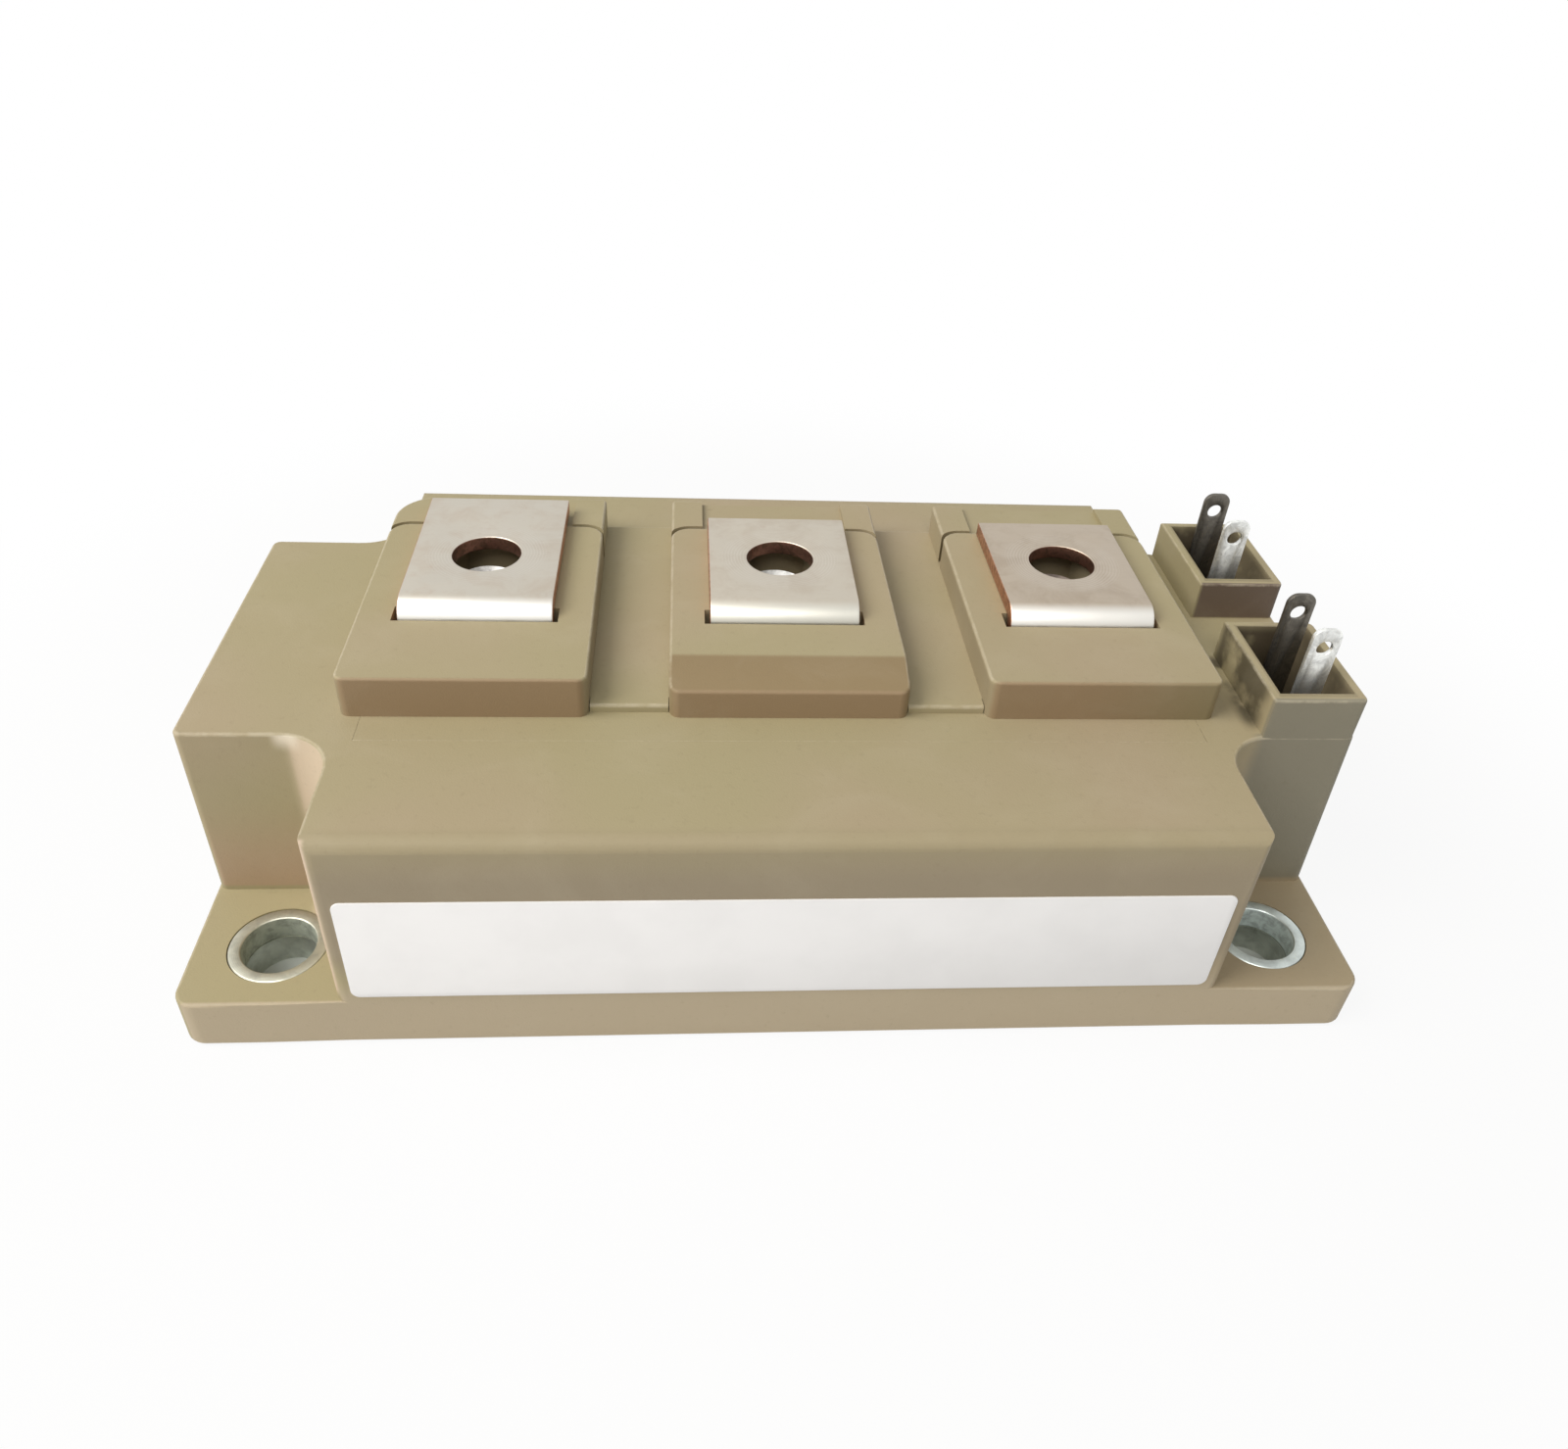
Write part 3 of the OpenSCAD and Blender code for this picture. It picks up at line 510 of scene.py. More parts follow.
def finish_form(piece, finish, worn, rubbed):
    """Smooths the rounded edges, keeps the flats flat, and gives the rubbed faces the worn finish."""
    piece.data.materials.clear()
    piece.data.materials.append(finish)
    piece.data.materials.append(worn)
    for face in piece.data.polygons:
        tilt = abs(face.normal.z)
        face.material_index = 1 if 0.06 < tilt < 0.97 and rubbed(face.center / MM) else 0
    smooth(piece, 30)
    press(piece, "WEIGHTED_NORMAL", keep_sharp=True, weight=80)


def round_edges(piece, width, rule, segments=3):
    """Rounds the sharp edges of a piece: rule(middle in mm, direction) gives each edge's share of the width."""
    mesh = piece.data
    sides = {}
    for face in mesh.polygons:
        for key in face.edge_keys:
            sides.setdefault(key, []).append(face.normal.copy())
    weights = mesh.attributes.get("bevel_weight_edge") or mesh.attributes.new("bevel_weight_edge", "FLOAT", "EDGE")
    for edge in mesh.edges:
        normals = sides.get(edge.key, [])
        share = 0.0
        if len(normals) == 2 and normals[0].angle(normals[1], 0) > radians(20):
            a, b = (mesh.vertices[v].co for v in edge.vertices)
            share = rule((a + b) / 2 / MM, (b - a).normalized())
        weights.data[edge.index].value = share
    press(piece, "BEVEL", limit_method="WEIGHT", width=width * MM, segments=segments, use_clamp_overlap=False)


def smooth(piece, angle=28):
    """Shades a piece smooth but for edges sharper than that many degrees."""
    only(piece)
    bpy.ops.object.shade_smooth_by_angle(angle=radians(angle))


def dress(piece, finish, slot_name, *stands_for):
    """Gives a piece its finish where it has none, its body and the solids it stands for. slot_name is not used."""
    if not piece.data.materials:
        piece.data.materials.append(finish)
    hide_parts(*stands_for)
    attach(piece, "root")
    return piece


# ---------- sizes, some taken from the solids and the rest given ---

def edges_of(node):
    """A solid's lowest and highest corners in millimetres."""
    low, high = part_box(node)
    return low / MM, high / MM


case_low, case_high = edges_of("case")
plate_low, plate_high = edges_of("base_plate")
strips = [edges_of(f"main_terminal_{i}") for i in (1, 2, 3)]
nuts = [edges_of(f"hex_nut_{i}") for i in (1, 2, 3)]
rings = [edges_of(f"collar_{i}") for i in (1, 2, 3, 4)]
blades = [edges_of(f"control_tab_{i}") for i in (1, 2, 3, 4)]
label_front = edges_of("label")[0].y

# Heights: stand tops, flange, and the deck, which lies 4.1 below the lid's highest point
STAND_TOP = edges_of("nut_holder_1")[1].z
FLANGE_TOP = rings[0][1].z
DECK = edges_of("lid")[1].z - 4.1

# Walls of the case: half widths, the end walls (the right one leans) and the radii of the hollow corners
BLOCK_X, WALL_Y, END_Y = 40.0, 30.8, 16.9
LEFT_X, RIGHT_X, RIGHT_TOP_X = 53.8, 53.7, 53.007
NOTCH_R, RIM_R = 4.8, 0.3
FRONT_R, BACK_R = 1.4, 3.0
WALL = 2.2

# Lid, its raised table, and the joint round it
LID_X, LID_FRONT, LID_BACK, LID_THICK = 38.3, -17.7, 21.2, 2.0
TABLE_TOP, TABLE_X, TABLE_FRONT, TABLE_BACK = 25.2, 40.2, -13.5, 20.0
LID_JOINT = 0.01

# Stands: their spacing, half width, front, back, the middle one's slope and the stud's place
PITCH = 29.2
STAND_X, STAND_FRONT, STAND_BACK = 11.0, -14.3, 13.8
BROW_Y, BROW_DROP = -10.1, 1.2
STUD_Y = 5.1

# Below a stand: its lip, its boss, the play they have in the lid, and the rooms for nut and screw tip
LIP_BACK, PLAY = -12.3, 0.06
BOSS_X, BOSS_FRONT, BOSS_BACK, BOSS_FOOT = 7.2, -8.0, 12.6, 17.4
NUT_ROOM, TIP_ROOM = 5.1, 3.5

# A busbar's slots: half widths at the bend and down the leg, and their front. Its faces that are nearer than
# the reach to the stud's axis line the hole
STRIP_X, LEG_X, SLOT_FRONT = 7.7, 5.25, -4.95
HOLE_REACH = 3.5

# Sockets of the control tabs: place, walls and floor
SOCKET_X, SOCKET_W, SOCKET_Y = 43.907, 9.0, 3.5
SOCKET_WALL, SOCKET_FRONT_WALL = 0.9, 1.2
SOCKET_FLOOR = 17.0

# A control tab: width of blade and pin, height of its shoulders, radius of its dimple hole
TAB_WIDTH, PIN_WIDTH, SHOULDER, DIMPLE_R = 2.8, 1.6, 1.2, 0.75

# Screw holes, and the thread of the nuts: its outer and inner diameters and its pitch
SCREW_HOLE = 6.6
THREAD, THREAD_CORE, THREAD_PITCH = 6.0, 5.1, 1.0


def near(value, target, slack=0.02):
    """True if two lengths in millimetres are the same but for rounding."""
    return abs(value - target) < slack


# ---------- finishes used ----------

# Zone, patches if it is broken up, colour. Each zone paints light or shade into the case's khaki
CASE_PAINTED_LIGHT_AND_SHADE = (
    # The rounded top edge of the front wall, darkened a little as painted shade
    ({"Y": (None, (-30.2, -28.6)), "Z": ((20.0, 23.4), None)}, None, (0.335, 0.280, 0.170)),
    # The front wall above the label, darkening downwards as painted shade
    ({"Z": ((8.0, 12.0), (19.5, 24.3)), "Y": (None, (-30.6, -30.2))}, None, (0.300, 0.247, 0.166)),
    # The foot of the front wall and the flange's edge below the label, painted paler as light falling on the front
    ({"Y": (None, (-30.7, -30.5)), "Z": (None, (5.0, 9.0))}, None, (0.440, 0.365, 0.250)),
    # The upright front left corner of the wide body: a painted highlight, a pale line where the rounded corner
    # catches the light
    ({"X": (None, (-39.75, -39.25)), "Y": (None, (-30.2, -29.9)), "Z": ((5.8, 7.0), None)}, None,
        (0.58, 0.455, 0.335)),
    # The foot of the left notch's wall, where it turns pinkish brown: the tone of the wall in shade, painted
    ({"X": (None, (-44.8, -42.5)), "Y": ((-17.1, -16.95), (-16.86, -16.75)), "Z": ((5.9, 6.1), (7.0, 18.0))}, None,
        (0.400, 0.290, 0.185)),
    # The hollow corner at the front left, painted pale as a highlight where the fillet catches the light, and its
    # head painted brightest
    ({"X": ((-45.0, -43.4), (-39.9, -39.5)), "Z": (None, (DECK - 0.30, DECK - 0.15)),
        "Y": ((-23.5, -21.5), (-17.0, -16.85))}, None, (0.60, 0.485, 0.350)),
    ({"X": ((-45.8, -44.7), (-43.8, -42.6)), "Z": ((22.2, 24.4), (DECK - 0.20, DECK - 0.05)),
        "Y": ((-23.5, -21.5), (-16.92, -16.80))}, None, (0.80, 0.72, 0.58)),
    # The end block's wall and the socket's front on the control side, greyed as painted shade
    ({"X": ((42.5, 44.5), None), "Y": (None, (-16.6, -16.2)), "Z": ((5.6, 6.4), None)}, None,
        (0.240, 0.220, 0.160)),
    # Painted shade down inside both sockets, broken into patches
    ({"X": ((44.5, 44.7), (51.9, 52.3)), "|Y|": ((4.1, 4.3), (16.05, 16.25)), "Z": (None, (27.6, 29.1))},
        (3.5, 4, 0.15, 0.42), (0.105, 0.082, 0.050)),
    # The front face of the rear socket, browned as painted shade
    ({"Y": ((3.2, 3.35), (3.75, 3.95)), "X": ((43.9, 44.3), None), "Z": ((24.35, 24.6), (28.7, 29.0))}, None,
        (0.135, 0.098, 0.070)),
    # The gutter between the last stand and the front socket, darkened in patches as painted shade
    ({"X": ((42.2, 43.6), (44.0, 44.2)), "Y": ((-16.5, -14.0), (-4.6, -3.2)), "Z": (None, (28.2, 28.9))},
        (4.5, 5, 0.30, 0.52), (0.100, 0.083, 0.048)))
FRONT_FACE = (None, (-14.28, -13.9))
LOCAL_STAND = (
    # The upright sides of the stands, below their rims, darkened as painted shade
    ({"Z": (None, (27.9, 28.3))}, None, (0.300, 0.245, 0.150)),
    # The sloping top front of the middle stand
    ({"Y": (None, (-10.4, -9.9)), "|X|": (None, (10.6, 11.4))}, None, (0.255, 0.187, 0.098)),
    # The front face of each stand, browned as painted shade, and the same on the control side, where it turns olive
    ({"Y": FRONT_FACE}, None, (0.300, 0.212, 0.122)),
    ({"Y": FRONT_FACE, "X": ((24, 46), None)}, None, (0.225, 0.190, 0.100)))

khaki = moulding("case_khaki", local=CASE_PAINTED_LIGHT_AND_SHADE)
khaki_worn = moulding("case_khaki_rubbed", worn=True, local=CASE_PAINTED_LIGHT_AND_SHADE)
khaki_stand = moulding("stand_khaki", local=LOCAL_STAND)
khaki_stand_worn = moulding("stand_khaki_rubbed", worn=True, local=LOCAL_STAND)
copper_edge = raw_copper("sheared_copper")
# Inside the busbars' screw holes the copper is darkened as painted shade
copper_hole_painted_shade = raw_copper("pierced_copper_painted_shade", (0.26, 0.13, 0.09), (0.14, 0.08, 0.05))
track_foil = raw_copper("bonded_copper_foil", (0.66, 0.36, 0.22), (0.52, 0.27, 0.17), sheared=False)
lead_wire = drawn_wire("lead_copper_wire", (0.72, 0.42, 0.28))
bond_wire = drawn_wire("bond_wire_aluminium", (0.80, 0.80, 0.81))
base_nickel = zinc("base_plate_nickel", (0.66, 0.68, 0.62))
ceramic = fired_ceramic("tile_alumina")
die = silicon("die_silicon")
gel = soft_gel("gel_silicone")
label_film = film("label_white_film")


# ---------- moulded pieces ----------

def body_blank():
    """Middle block and end blocks as one upright blank with hollow notch corners and softened rims."""
    body = slab("moulded_case", (-BLOCK_X, -WALL_Y, 2), (BLOCK_X, WALL_Y, DECK))
    ends = slab("ends", (-LEFT_X, -END_Y, 2), (RIGHT_X, END_Y, DECK))
    # The end wall on the control side leans inwards
    lean = (RIGHT_X - RIGHT_TOP_X) / (DECK - FLANGE_TOP)
    for corner in ends.data.vertices:
        if corner.co.x > 0:
            corner.co.x -= lean * (corner.co.z - FLANGE_TOP * MM)
    cut(body, ends, "UNION")
    pick(body, "FACE", lambda face: True)
    bpy.ops.mesh.dissolve_limited(angle_limit=radians(0.2))
    done()
    in_notch = upright(lambda a: near(abs(a.x), BLOCK_X) and near(abs(a.y), END_Y))
    round_over(body, NOTCH_R, in_notch, 14)
    round_over(body, 1.2, upright(lambda a: near(abs(a.x), BLOCK_X) and near(abs(a.y), WALL_Y)), 6)
    at_end = upright(lambda a: abs(a.x) > RIGHT_TOP_X - 0.1 and near(abs(a.y), END_Y))
    round_over(body, 0.8, at_end, 5)
    round_over(body, RIM_R, rim(DECK), 3)
    # Long walls: a tight radius along the front, a full one along the back
    loaf = slab("loaf", (-60, -WALL_Y - 0.02, 0), (60, WALL_Y + 0.02, DECK + 0.01))
    top = rim(DECK + 0.01)
    for side, radius, segments in ((-1, FRONT_R, 8), (1, BACK_R, 12)):
        round_over(loaf, radius, lambda a, b, along: top(a, b, along) and a.y * side > 0 and abs(along.x) > 0.9,
            segments)
    cut(body, loaf, "INTERSECT")
    return body


def mould_case():
    """The case: body and flange, the two sockets, the rooms inside, and the screw holes."""
    body = body_blank()
    flange = slab("flange", case_low, (case_high.x, case_high.y, FLANGE_TOP))
    round_over(flange, 2.0, upright(), 8)
    round_over(flange, RIM_R, rim(FLANGE_TOP), 3)
    round_over(flange, 0.2, rim(case_low.z), 2)
    # The long walls run down flush with the flange between the notches. The cut's outer side is five times
    # as wide as its inner one, so that the flange's edge runs out to the wall gradually
    for side in (-1, 1):
        y0, y1 = sorted((side * WALL_Y, side * 34))
        flush = slab("flush", (-BLOCK_X + 0.5, y0, -1), (BLOCK_X - 0.5, y1, 7))
        for corner in flush.data.vertices:
            if abs(corner.co.y) > 33 * MM:
                corner.co.x *= 5
        cut(flange, flush)
    cut(body, flange, "UNION")
    for side in (-1, 1):
        y0, y1 = sorted((side * SOCKET_Y, side * (END_Y - 0.03)))
        far_x = SOCKET_X + SOCKET_W
        walls = slab("walls", (SOCKET_X, y0, 21), (far_x, y1, STAND_TOP))
        round_over(walls, 0.7, upright(lambda a: near(a.x, far_x)), 4)
        round_over(walls, 0.2, rim(STAND_TOP), 2)
        cut(body, walls, "UNION")
        cut(body, slab("pocket", (SOCKET_X + SOCKET_WALL, y0 + SOCKET_FRONT_WALL, SOCKET_FLOOR),
            (far_x - SOCKET_WALL, y1 - SOCKET_WALL, 31)))
    for low, high in blades:
        centre = (low + high) / 2
        cut(body, slab("pin_slot", (centre.x - 0.9, low.y - 0.1, 12), (centre.x + 0.9, high.y + 0.1, 18)))
    # Seat of the base plate, rooms under the middle and the end blocks, mouth and ledge of the lid
    for low, high in (
            ((plate_low.x - 0.1, plate_low.y - 0.1, -1), (plate_high.x + 0.1, plate_high.y + 0.1, plate_high.z)),
            ((-BLOCK_X + WALL, -WALL_Y + WALL, 0), (BLOCK_X - WALL, WALL_Y - WALL, DECK - 4)),
            ((-LEFT_X + WALL, -END_Y + WALL, 0), (0, END_Y - WALL, DECK - 4)),
            ((0, -END_Y + WALL, 0), (RIGHT_X - WALL, END_Y - WALL, SOCKET_FLOOR - 2.5)),
            ((-LID_X + 1.6, LID_FRONT + 1.6, 19), (LID_X - 1.6, LID_BACK - 1.6, 30)),
            ((-LID_X - LID_JOINT, LID_FRONT - LID_JOINT, DECK - LID_THICK),
                (LID_X + LID_JOINT, LID_BACK + LID_JOINT, 30))):
        cut(body, slab("room", low, high))
    for low, high in rings:
        foot = ((low.x + high.x) / 2, (low.y + high.y) / 2, -1)
        cut(body, rod("bore", (high.x - low.x) / 2 + 0.05, foot, 8, sides=80))

    def rubbed(at):
        on_flange = at.z < 6 and at.y < -30 and at.x > 0
        return on_flange or at.z > 5 and -29.5 < at.y < 27
    finish_form(body, khaki, khaki_worn, rubbed)
    return dress(body, khaki, "case_moulding", "case")


def mould_lid():
    """The lid: panel, raised table, the back parts of the three stands, and the rooms for the nut holders."""
    panel = slab("lid_panel", (-LID_X, LID_FRONT, DECK - LID_THICK), (LID_X, LID_BACK, DECK))
    round_over(panel, 0.03, rim(DECK), 1)
    table = slab("table", (-TABLE_X, TABLE_FRONT, DECK), (TABLE_X, TABLE_BACK, TABLE_TOP))
    round_over(table, RIM_R, rim(TABLE_TOP), 3)
    cut(panel, table, "UNION")
    on_top = rim(STAND_TOP)
    for i in (-1, 0, 1):
        x = i * PITCH
        stand = slab("back_stand", (x - STAND_X, 10, TABLE_TOP - 0.4), (x + STAND_X, TABLE_BACK, STAND_TOP))
        # The first stand has a wide back left corner
        if i < 0:
            round_over(stand, 4.5, upright(lambda a: a.x < x and a.y > 15), 12)
        round_over(stand, 0.5, upright(lambda a: a.y > 15 and (i >= 0 or a.x > x)), 4)
        round_over(stand, 0.28, lambda a, b, along: on_top(a, b, along) and max(a.y, b.y) > 10.1, 3)
        corner_room = slab("corner_room", (x - STAND_X - 0.35, 5, 20), (x + STAND_X + 0.35, STAND_BACK + 0.35, 40))
        round_over(corner_room, 2.35, upright(lambda a: a.y > 10), 10)
        cut(stand, corner_room)
        cut(stand, slab("channel", (x - STRIP_X, 5, STAND_TOP - 0.5), (x + STRIP_X, 25, 40)))
        cut(panel, stand, "UNION")
        cut(panel, slab("boss_room", (x - BOSS_X - PLAY, BOSS_FRONT - PLAY, 15),
            (x + BOSS_X + PLAY, BOSS_BACK + PLAY, 27)))
        cut(panel, slab("lip_room", (x - STAND_X - PLAY, STAND_FRONT - 0.1, DECK),
            (x + STAND_X + PLAY, LIP_BACK + PLAY, 27)))
    finish_form(panel, khaki, khaki_worn, lambda at: at.z > TABLE_TOP - 0.9)
    return dress(panel, khaki, "lid_moulding", "lid")


def mould_stand(i):
    """A nut holder: the stand's front with its lip, the boss below, the nut's pocket and the busbar's slots."""
    x = (i - 2) * PITCH
    body = slab(f"nut_stand_{i}", (x - STAND_X, STAND_FRONT, DECK), (x + STAND_X, STAND_BACK, STAND_TOP))
    # The middle stand slopes down in front
    brow = i == 2
    if brow:
        pick(body, "FACE", lambda face: True)
        bpy.ops.mesh.bisect(plane_co=(0, BROW_Y * MM, 0), plane_no=(0, 1, 0))
        done()
        for corner in body.data.vertices:
            if near(corner.co.y / MM, STAND_FRONT) and near(corner.co.z / MM, STAND_TOP):
                corner.co.z -= BROW_DROP * MM
    round_over(body, 1.0, upright(lambda a: near(a.y, STAND_FRONT)), 6)
    round_over(body, 2.0, upright(lambda a: near(a.y, STAND_BACK)), 10)

    def on_rim(a, b, along):
        return min(a.z, b.z) > STAND_TOP - 1.5 and not (near(a.y, BROW_Y) and near(b.y, BROW_Y))
    round_over(body, 0.26, on_rim, 3)
    cut(body, slab("clearance", (x - 13, LIP_BACK, 20), (x + 13, 20, TABLE_TOP)))
    boss = slab("boss", (x - BOSS_X, BOSS_FRONT, BOSS_FOOT), (x + BOSS_X, BOSS_BACK, TABLE_TOP + 0.5))
    cut(body, boss, "UNION")
    across_corners = NUT_ROOM / cos(pi / 6)
    cut(body, rod("nut_pocket", across_corners, (x, STUD_Y, nuts[0][0].z), 9, sides=6, turn=(0, 0, pi / 6)))
    cut(body, rod("tip_room", TIP_ROOM, (x, STUD_Y, BOSS_FOOT + 1), 9, sides=48))
    cut(body, slab("bend_slot", (x - STRIP_X, SLOT_FRONT, 25.75), (x + STRIP_X, -2.5, 32)))
    cut(body, slab("leg_slot", (x - LEG_X, SLOT_FRONT, 15), (x + LEG_X, -2.95, 30)))

    def rubbed(at):
        on_brow = brow and at.y < BROW_Y - 0.1 and abs(at.x - x) < STAND_X - 0.5
        return at.z > 26 and at.y > STAND_FRONT + 0.6 and not on_brow
    finish_form(body, khaki_stand, khaki_stand_worn, rubbed)
    return dress(body, khaki_stand, "holder_moulding", f"nut_holder_{i}")


# ---------- metal pieces ----------

# Two tones of the flat top and the tone of the bend, a painted highlight, for each busbar
PLATING_AND_BEND_HIGHLIGHT = (
    ((0.57, 0.53, 0.455), (0.53, 0.47, 0.39), (0.80, 0.79, 0.75)),
    ((0.57, 0.52, 0.435), (0.52, 0.46, 0.375), (0.60, 0.585, 0.52)),
    ((0.49, 0.42, 0.335), (0.43, 0.36, 0.28), (0.76, 0.74, 0.69)))
# Each nut's plating and its thread, toned to the light seen down the screw holes: near white on the first two as
# painted light, and the last nut darkened as painted shade
NUT_LIGHT_AND_SHADE_TONES = (
    ((0.97, 0.95, 0.92), (0.92, 0.91, 0.88)),
    ((0.93, 0.95, 0.92), (0.90, 0.91, 0.88)),
    ((0.42, 0.38, 0.33), (0.20, 0.155, 0.125)))
# The ferrules' plating and bore, on the left and on the control side. The bores are toned to the light seen down
# them: painted shade on the left, painted light on the control side
FERRULE_TONES = (((0.60, 0.59, 0.49), (0.42, 0.45, 0.37)), ((0.66, 0.72, 0.69), (0.78, 0.88, 0.85)))


def bend_busbar(i):
    """The bent strip with its flat top, plated faces and bare sheared sides."""
    low, high = strips[i - 1]
    middle = Vector(((low.x + high.x) / 2, STUD_Y, high.z))
    piece = trim_copy(f"main_terminal_{i}", f"busbar_{i}")
    plated, bare, pierced = range(3)
    for finish in (nickel(f"busbar_{i}_nickel", tuple(middle), *PLATING_AND_BEND_HIGHLIGHT[i - 1]), copper_edge, copper_hole_painted_shade):
        piece.data.materials.append(finish)
    for face in piece.data.polygons:
        at = face.center / MM
        in_hole = (at.xy - middle.xy).length < HOLE_REACH and abs(face.normal.z) < 0.5
        sheared = abs(face.normal.x) > 0.7 or face.normal.y > 0.7 and near(at.y, high.y)
        face.material_index = pierced if in_hole else bare if sheared else plated
    round_edges(piece, 0.16, lambda at, along: 1.0 if at.z > 26.2 else 0.4)
    smooth(piece, 32)
    return dress(piece, copper_edge, "terminal_plating", f"main_terminal_{i}")


def turned_hole(piece, radius, at, tall, mouth=0.0, tilt=(0, 0, 0)):
    """Drills a piece: a round hole along its own axis, widened to a countersink at both ends if a mouth is given."""
    bpy.ops.object.select_all(action="DESELECT")
    bpy.ops.mesh.primitive_cylinder_add(vertices=64, radius=radius * MM, depth=tall * MM, location=Vector(at) * MM,
        rotation=tilt)
    drill = settle(bpy.context.object, "drill")
    if mouth:
        pick(drill, "FACE", lambda face: abs(face.normal.z) > 0.9)
        bpy.ops.mesh.extrude_region_shrink_fatten(TRANSFORM_OT_shrink_fatten={"value": 2 * mouth * MM})
        done()
        spread = (radius + 2 * mouth) / radius
        for corner in drill.data.vertices:
            if abs(corner.co.z / MM - at[2]) > tall / 2 + mouth:
                corner.co.x = (at[0] + (corner.co.x / MM - at[0]) * spread) * MM
                corner.co.y = (at[1] + (corner.co.y / MM - at[1]) * spread) * MM
    cut(piece, drill)


def tap_ridge(centre, low, high):
    """The thread inside a nut: a triangular ridge wound up the bore, its two ends closed."""
    bpy.ops.object.select_all(action="DESELECT")
    bpy.ops.mesh.primitive_circle_add(vertices=3, radius=0.5 * MM, fill_type="NOTHING")
    ridge = bpy.context.object
    root, crest = THREAD / 2 + 0.04, THREAD_CORE / 2
    profile = ((root, -0.44), (crest, 0.0), (root, 0.44))
    for corner, (reach, height) in zip(ridge.data.vertices, profile):
        corner.co = Vector((reach, 0, height)) * MM
    turns = int((high - low - 1.2) / THREAD_PITCH)
    press(ridge, "SCREW", axis="Z", steps=40, render_steps=40, screw_offset=THREAD_PITCH * MM,
        iterations=turns, use_smooth_shade=False, use_merge_vertices=False)
    pick(ridge, "EDGE", lambda edge: False)
    bpy.ops.mesh.select_non_manifold(extend=False, use_wire=False, use_multi_face=False, use_non_contiguous=False,
        use_verts=False)
    bpy.ops.mesh.edge_face_add()
    bpy.ops.mesh.select_all(action="SELECT")
    bpy.ops.mesh.normals_make_consistent(inside=False)
    done()
    ridge.location = Vector((centre.x, centre.y, low + 0.6)) * MM
    return settle(ridge, "ridge")


def cut_nut():
    """A hexagon nut with turned-down corners and a countersunk, tapped bore, made at the first terminal."""
    low, high = nuts[0]
    centre = (low + high) / 2
    corner = (high.x - low.x) / 2
    tall = high.z - low.z
    bpy.ops.object.select_all(action="DESELECT")
    bpy.ops.mesh.primitive_cylinder_add(vertices=6, radius=corner * MM, depth=tall * MM, location=centre * MM,
        rotation=(0, 0, pi / 6))
    nut = settle(bpy.context.object, "captive_nut_1")
    # The nut is what it shares with a barrel whose two rims are bevelled
    bpy.ops.object.select_all(action="DESELECT")
    bpy.ops.mesh.primitive_cylinder_add(vertices=72, radius=(corner + 0.01) * MM, depth=tall * MM,
        location=centre * MM)
    barrel = settle(bpy.context.object, "barrel")
    pick(barrel, "EDGE", lambda edge: all(near(abs(barrel.data.vertices[v].co.z / MM - centre.z), tall / 2)
        for v in edge.vertices))
    bpy.ops.mesh.bevel(offset=0.62 * MM, offset_type="OFFSET", segments=1, affect="EDGES")
    done()
    cut(nut, barrel, "INTERSECT")
    turned_hole(nut, THREAD / 2, centre, tall - 0.5, mouth=0.25)
    ridge = tap_ridge(centre, low.z, high.z)
    only(nut, ridge)
    bpy.ops.object.join()
    smooth(nut, 30)
    return nut


def copy_along(piece, name, shift):
    """Another of the same, with a mesh of its own, moved by so many millimetres."""
    twin = bpy.data.objects.new(name, piece.data.copy())
    bpy.context.scene.collection.objects.link(twin)
    twin.location = Vector(shift) * MM
    return settle(twin, name)


def turn_ferrule(i):
    """A steel sleeve in the flange for the mounting screw, both rims broken."""
    low, high = rings[i - 1]
    centre = (low + high) / 2
    tall = high.z - low.z
    bpy.ops.object.select_all(action="DESELECT")
    bpy.ops.mesh.primitive_cylinder_add(vertices=80, radius=(high.x - low.x) / 2 * MM, depth=tall * MM,
        location=centre * MM)
    ring = settle(bpy.context.object, f"ferrule_{i}")
    pick(ring, "FACE", lambda face: abs(face.normal.z) > 0.9)
    bpy.ops.mesh.inset(thickness=((high.x - low.x) - SCREW_HOLE) / 2 * MM, depth=0)
    bpy.ops.mesh.bridge_edge_loops()
    done()
    round_edges(ring, 0.18, lambda at, along: 1.0 if abs(along.z) < 0.5 else 0.0)
    smooth(ring)
    return ring


def stamp_blade(i):
    """A push-on blade: rounded tip with coined edges, dimple hole, shoulders on the socket floor, pin below."""
    low, high = blades[i - 1]
    centre = (low + high) / 2
    thick = high.y - low.y

    def bar(name, width, bottom, top):
        bpy.ops.object.select_all(action="DESELECT")
        bpy.ops.mesh.primitive_cube_add(size=1, location=Vector((centre.x, centre.y, (bottom + top) / 2)) * MM,
            scale=Vector((width, thick, top - bottom)) * MM)
        return settle(bpy.context.object, name)

    def tip_corner(edge):
        a, b = (blade.data.vertices[v].co / MM for v in edge.vertices)
        return near(a.z, high.z) and near(b.z, high.z) and near(a.x, b.x)
    blade = bar(f"blade_{i}", TAB_WIDTH, SOCKET_FLOOR, high.z)
    pick(blade, "EDGE", tip_corner)
    bpy.ops.mesh.bevel(offset=1.0 * MM, offset_type="OFFSET", segments=6, affect="EDGES")
    done()
    cut(blade, bar("shoulders", high.x - low.x, SOCKET_FLOOR, SOCKET_FLOOR + SHOULDER), "UNION")
    cut(blade, bar("pin", PIN_WIDTH, low.z, SOCKET_FLOOR + SHOULDER / 2), "UNION")
    turned_hole(blade, DIMPLE_R, (centre.x, centre.y, high.z - 2), 3, tilt=(pi / 2, 0, 0))
    round_edges(blade, 0.10, lambda at, along: 1.0 if at.z > SOCKET_FLOOR + 0.1 else 0.0, segments=2)
    smooth(blade, 30)
    return blade


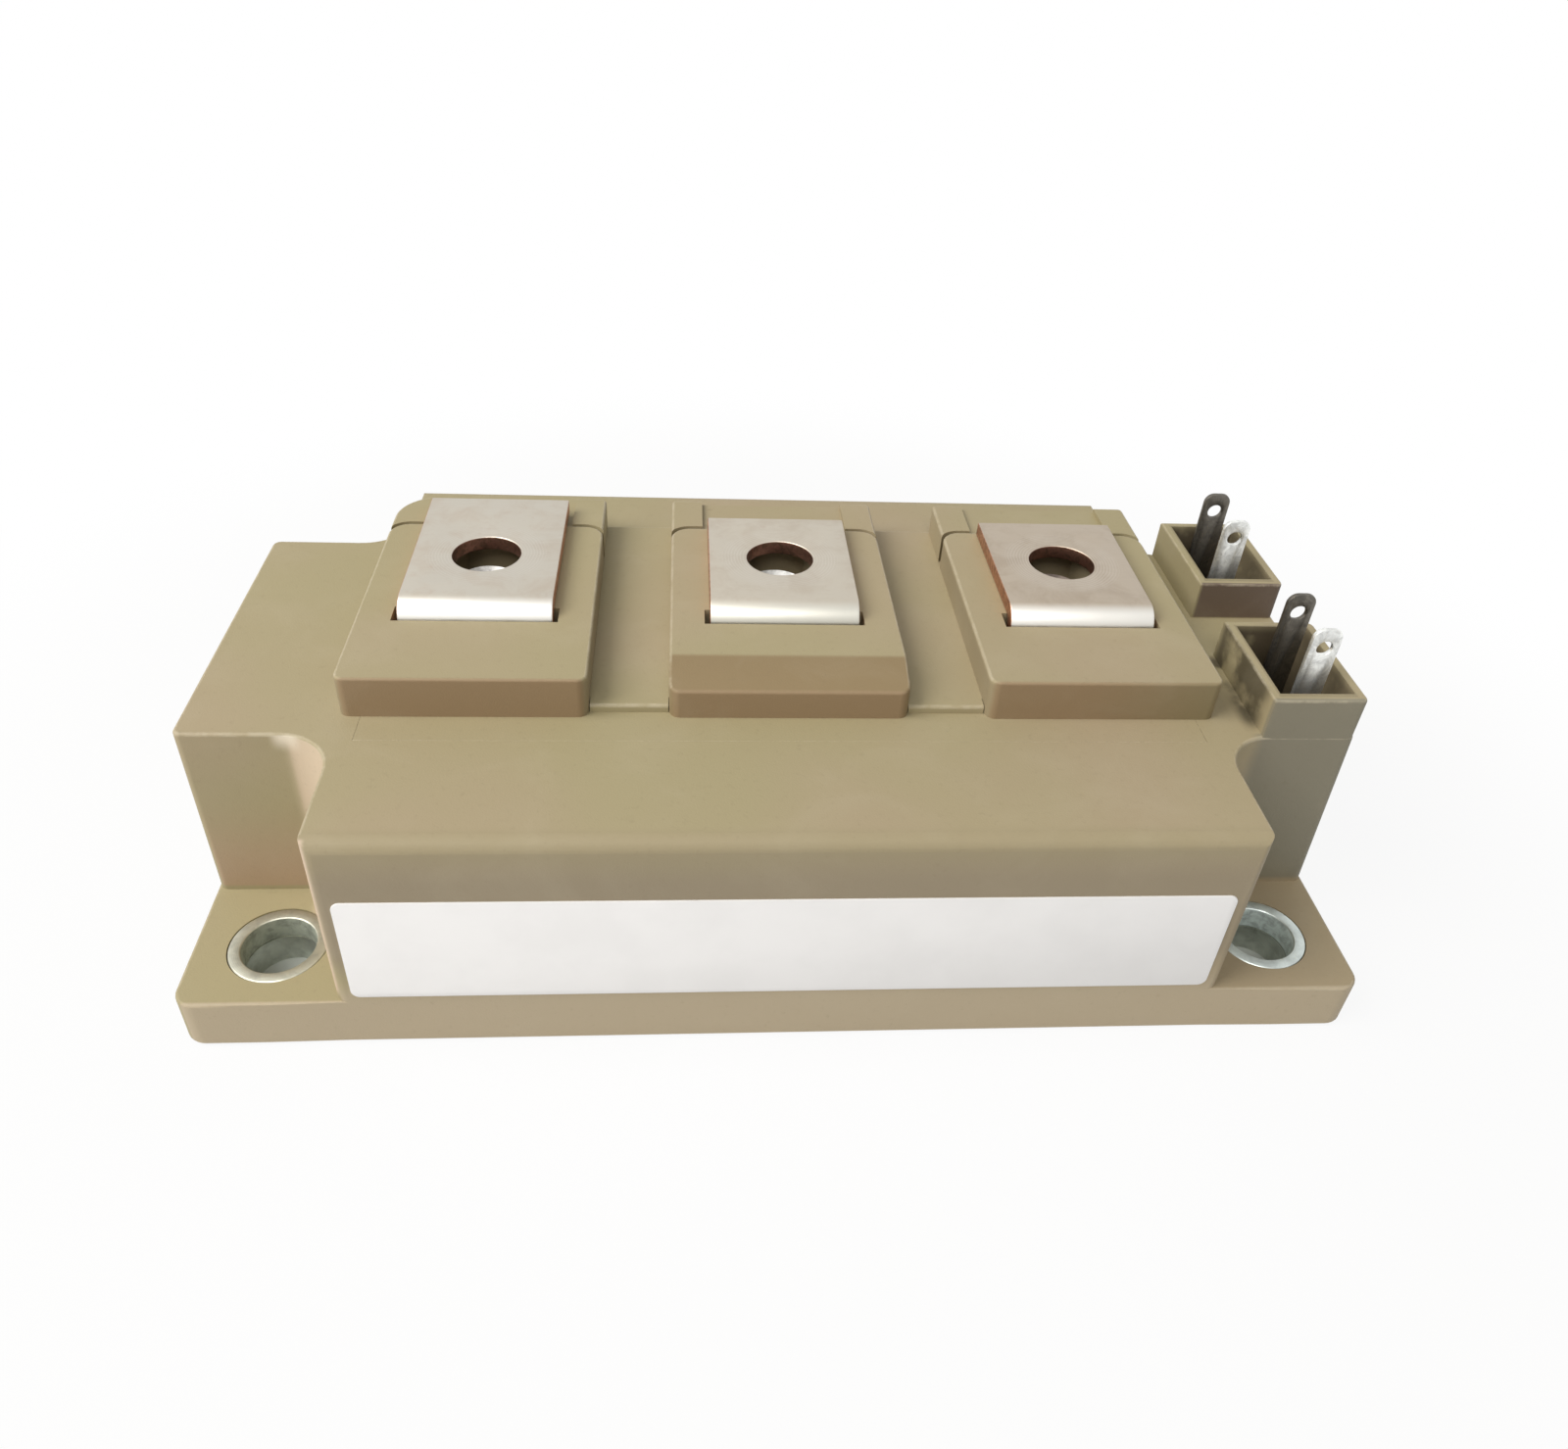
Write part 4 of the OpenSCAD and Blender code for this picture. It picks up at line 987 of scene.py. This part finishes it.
def line_hole(piece, centre, reach, finish):
    """Gives the faces inside a piece's upright hole a finish of their own."""
    piece.data.materials.append(finish)
    for face in piece.data.polygons:
        at = face.center / MM
        if (at.xy - centre.xy).length < reach and abs(face.normal.z) < 0.97:
            face.material_index = len(piece.data.materials) - 1


def lay_label():
    """The label film, its corners rounded and its edges a little soft."""
    piece = trim_copy("label", "label_film")
    round_edges(piece, 0.05, lambda at, along: 1.0 if at.y < label_front + 0.02 else 0.0, segments=2)
    smooth(piece)
    return piece


# ---------- putting the module together ----------

place_camera()

mould_case()
mould_lid()
for number in (1, 2, 3):
    mould_stand(number)
    bend_busbar(number)

first_nut = cut_nut()
nut_pieces = [first_nut] + [
    copy_along(first_nut, f"captive_nut_{number}", nuts[number - 1][0] - nuts[0][0]) for number in (2, 3)]
for number, nut in enumerate(nut_pieces, 1):
    low, high = nuts[number - 1]
    plating, thread = NUT_LIGHT_AND_SHADE_TONES[number - 1]
    nut.data.materials.clear()
    dress(nut, zinc(f"nut_{number}_zinc", plating), "nut_steel", f"hex_nut_{number}")
    line_hole(nut, (low + high) / 2, THREAD / 2 + 0.3, tapped(f"nut_{number}_thread", thread))

for number, (low, high) in enumerate(rings, 1):
    centre = (low + high) / 2
    plating, bore = FERRULE_TONES[centre.x > 0]
    ring = turn_ferrule(number)
    dress(ring, zinc(f"ferrule_{number}_zinc", plating, turned=tuple(centre)), "collar_steel", f"collar_{number}")
    line_hole(ring, centre, SCREW_HOLE / 2 + 0.02, tapped(f"ferrule_{number}_bore", bore))

# The tin in two tones: darkened as painted shade on tabs 1 and 3, near white as painted light on tabs 2 and 4
tab_painted_shade = tin("tab_tin_painted_shade", (0.19, 0.175, 0.15))
tab_painted_light = tin("tab_tin_painted_light", (0.95, 0.96, 0.93))
for number in (1, 2, 3, 4):
    dress(stamp_blade(number), tab_painted_shade if number in (1, 3) else tab_painted_light, "tab_plating", f"control_tab_{number}")

dress(lay_label(), label_film, "label_paper", "label")

PLAIN = {"base_plate": base_nickel, "gel": gel}
for side in ("left", "right"):
    PLAIN[f"backing_{side}"] = track_foil
    PLAIN[f"tracks_{side}"] = track_foil
    PLAIN[f"tile_{side}"] = ceramic
    PLAIN[f"igbt_chips_{side}"] = die
    PLAIN[f"diode_chips_{side}"] = die
    PLAIN[f"bond_wires_{side}"] = bond_wire
for number in (1, 2, 3, 4):
    PLAIN[f"control_lead_{number}"] = lead_wire
for name, finish in PLAIN.items():
    solid = nodes[name]
    solid.data.materials.clear()
    solid.data.materials.append(finish)

# ---------- table top and light ----------

bpy.ops.object.select_all(action="DESELECT")
bpy.ops.mesh.primitive_grid_add(x_subdivisions=8, y_subdivisions=8, size=3.0, location=(0, 0, 0))
floor = settle(bpy.context.object, "table_top")
floor.data.materials.append(table_top("table_paper"))

world = bpy.data.worlds.new("studio")
bpy.context.scene.world = world
world.use_nodes = True
room = world.node_tree
room.nodes.clear()


def backdrop(colour, strength):
    """An even background of the room."""
    light = room.nodes.new("ShaderNodeBackground")
    light.inputs["Color"].default_value = colour
    light.inputs["Strength"].default_value = strength
    return light.outputs[0]


# A soft sky lights the module. The eye, reflections and clear pieces see white
rays = room.nodes.new("ShaderNodeLightPath")
seen = rays.outputs["Is Camera Ray"]
for kind in ("Is Transmission Ray", "Is Glossy Ray"):
    either = room.nodes.new("ShaderNodeMath")
    either.operation = "MAXIMUM"
    room.links.new(seen, either.inputs[0])
    room.links.new(rays.outputs[kind], either.inputs[1])
    seen = either.outputs[0]
mix = room.nodes.new("ShaderNodeMixShader")
out = room.nodes.new("ShaderNodeOutputWorld")
for socket, wire in enumerate((seen, backdrop((1, 0.99, 0.97, 1), 0.33), backdrop((1, 1, 1, 1), 1.0))):
    room.links.new(wire, mix.inputs[socket])
room.links.new(mix.outputs[0], out.inputs["Surface"])

hang_lamp("softbox_left", (-0.46, -0.15, 0.52), width=0.45, depth=0.45, power=4.5, tint=(1.0, 0.975, 0.94))
hang_lamp("softbox_front", (-0.08, -0.45, 0.56), width=0.30, depth=0.22, power=1.3, tint=(1.0, 0.98, 0.95))

bpy.context.scene.view_settings.view_transform = "Standard"
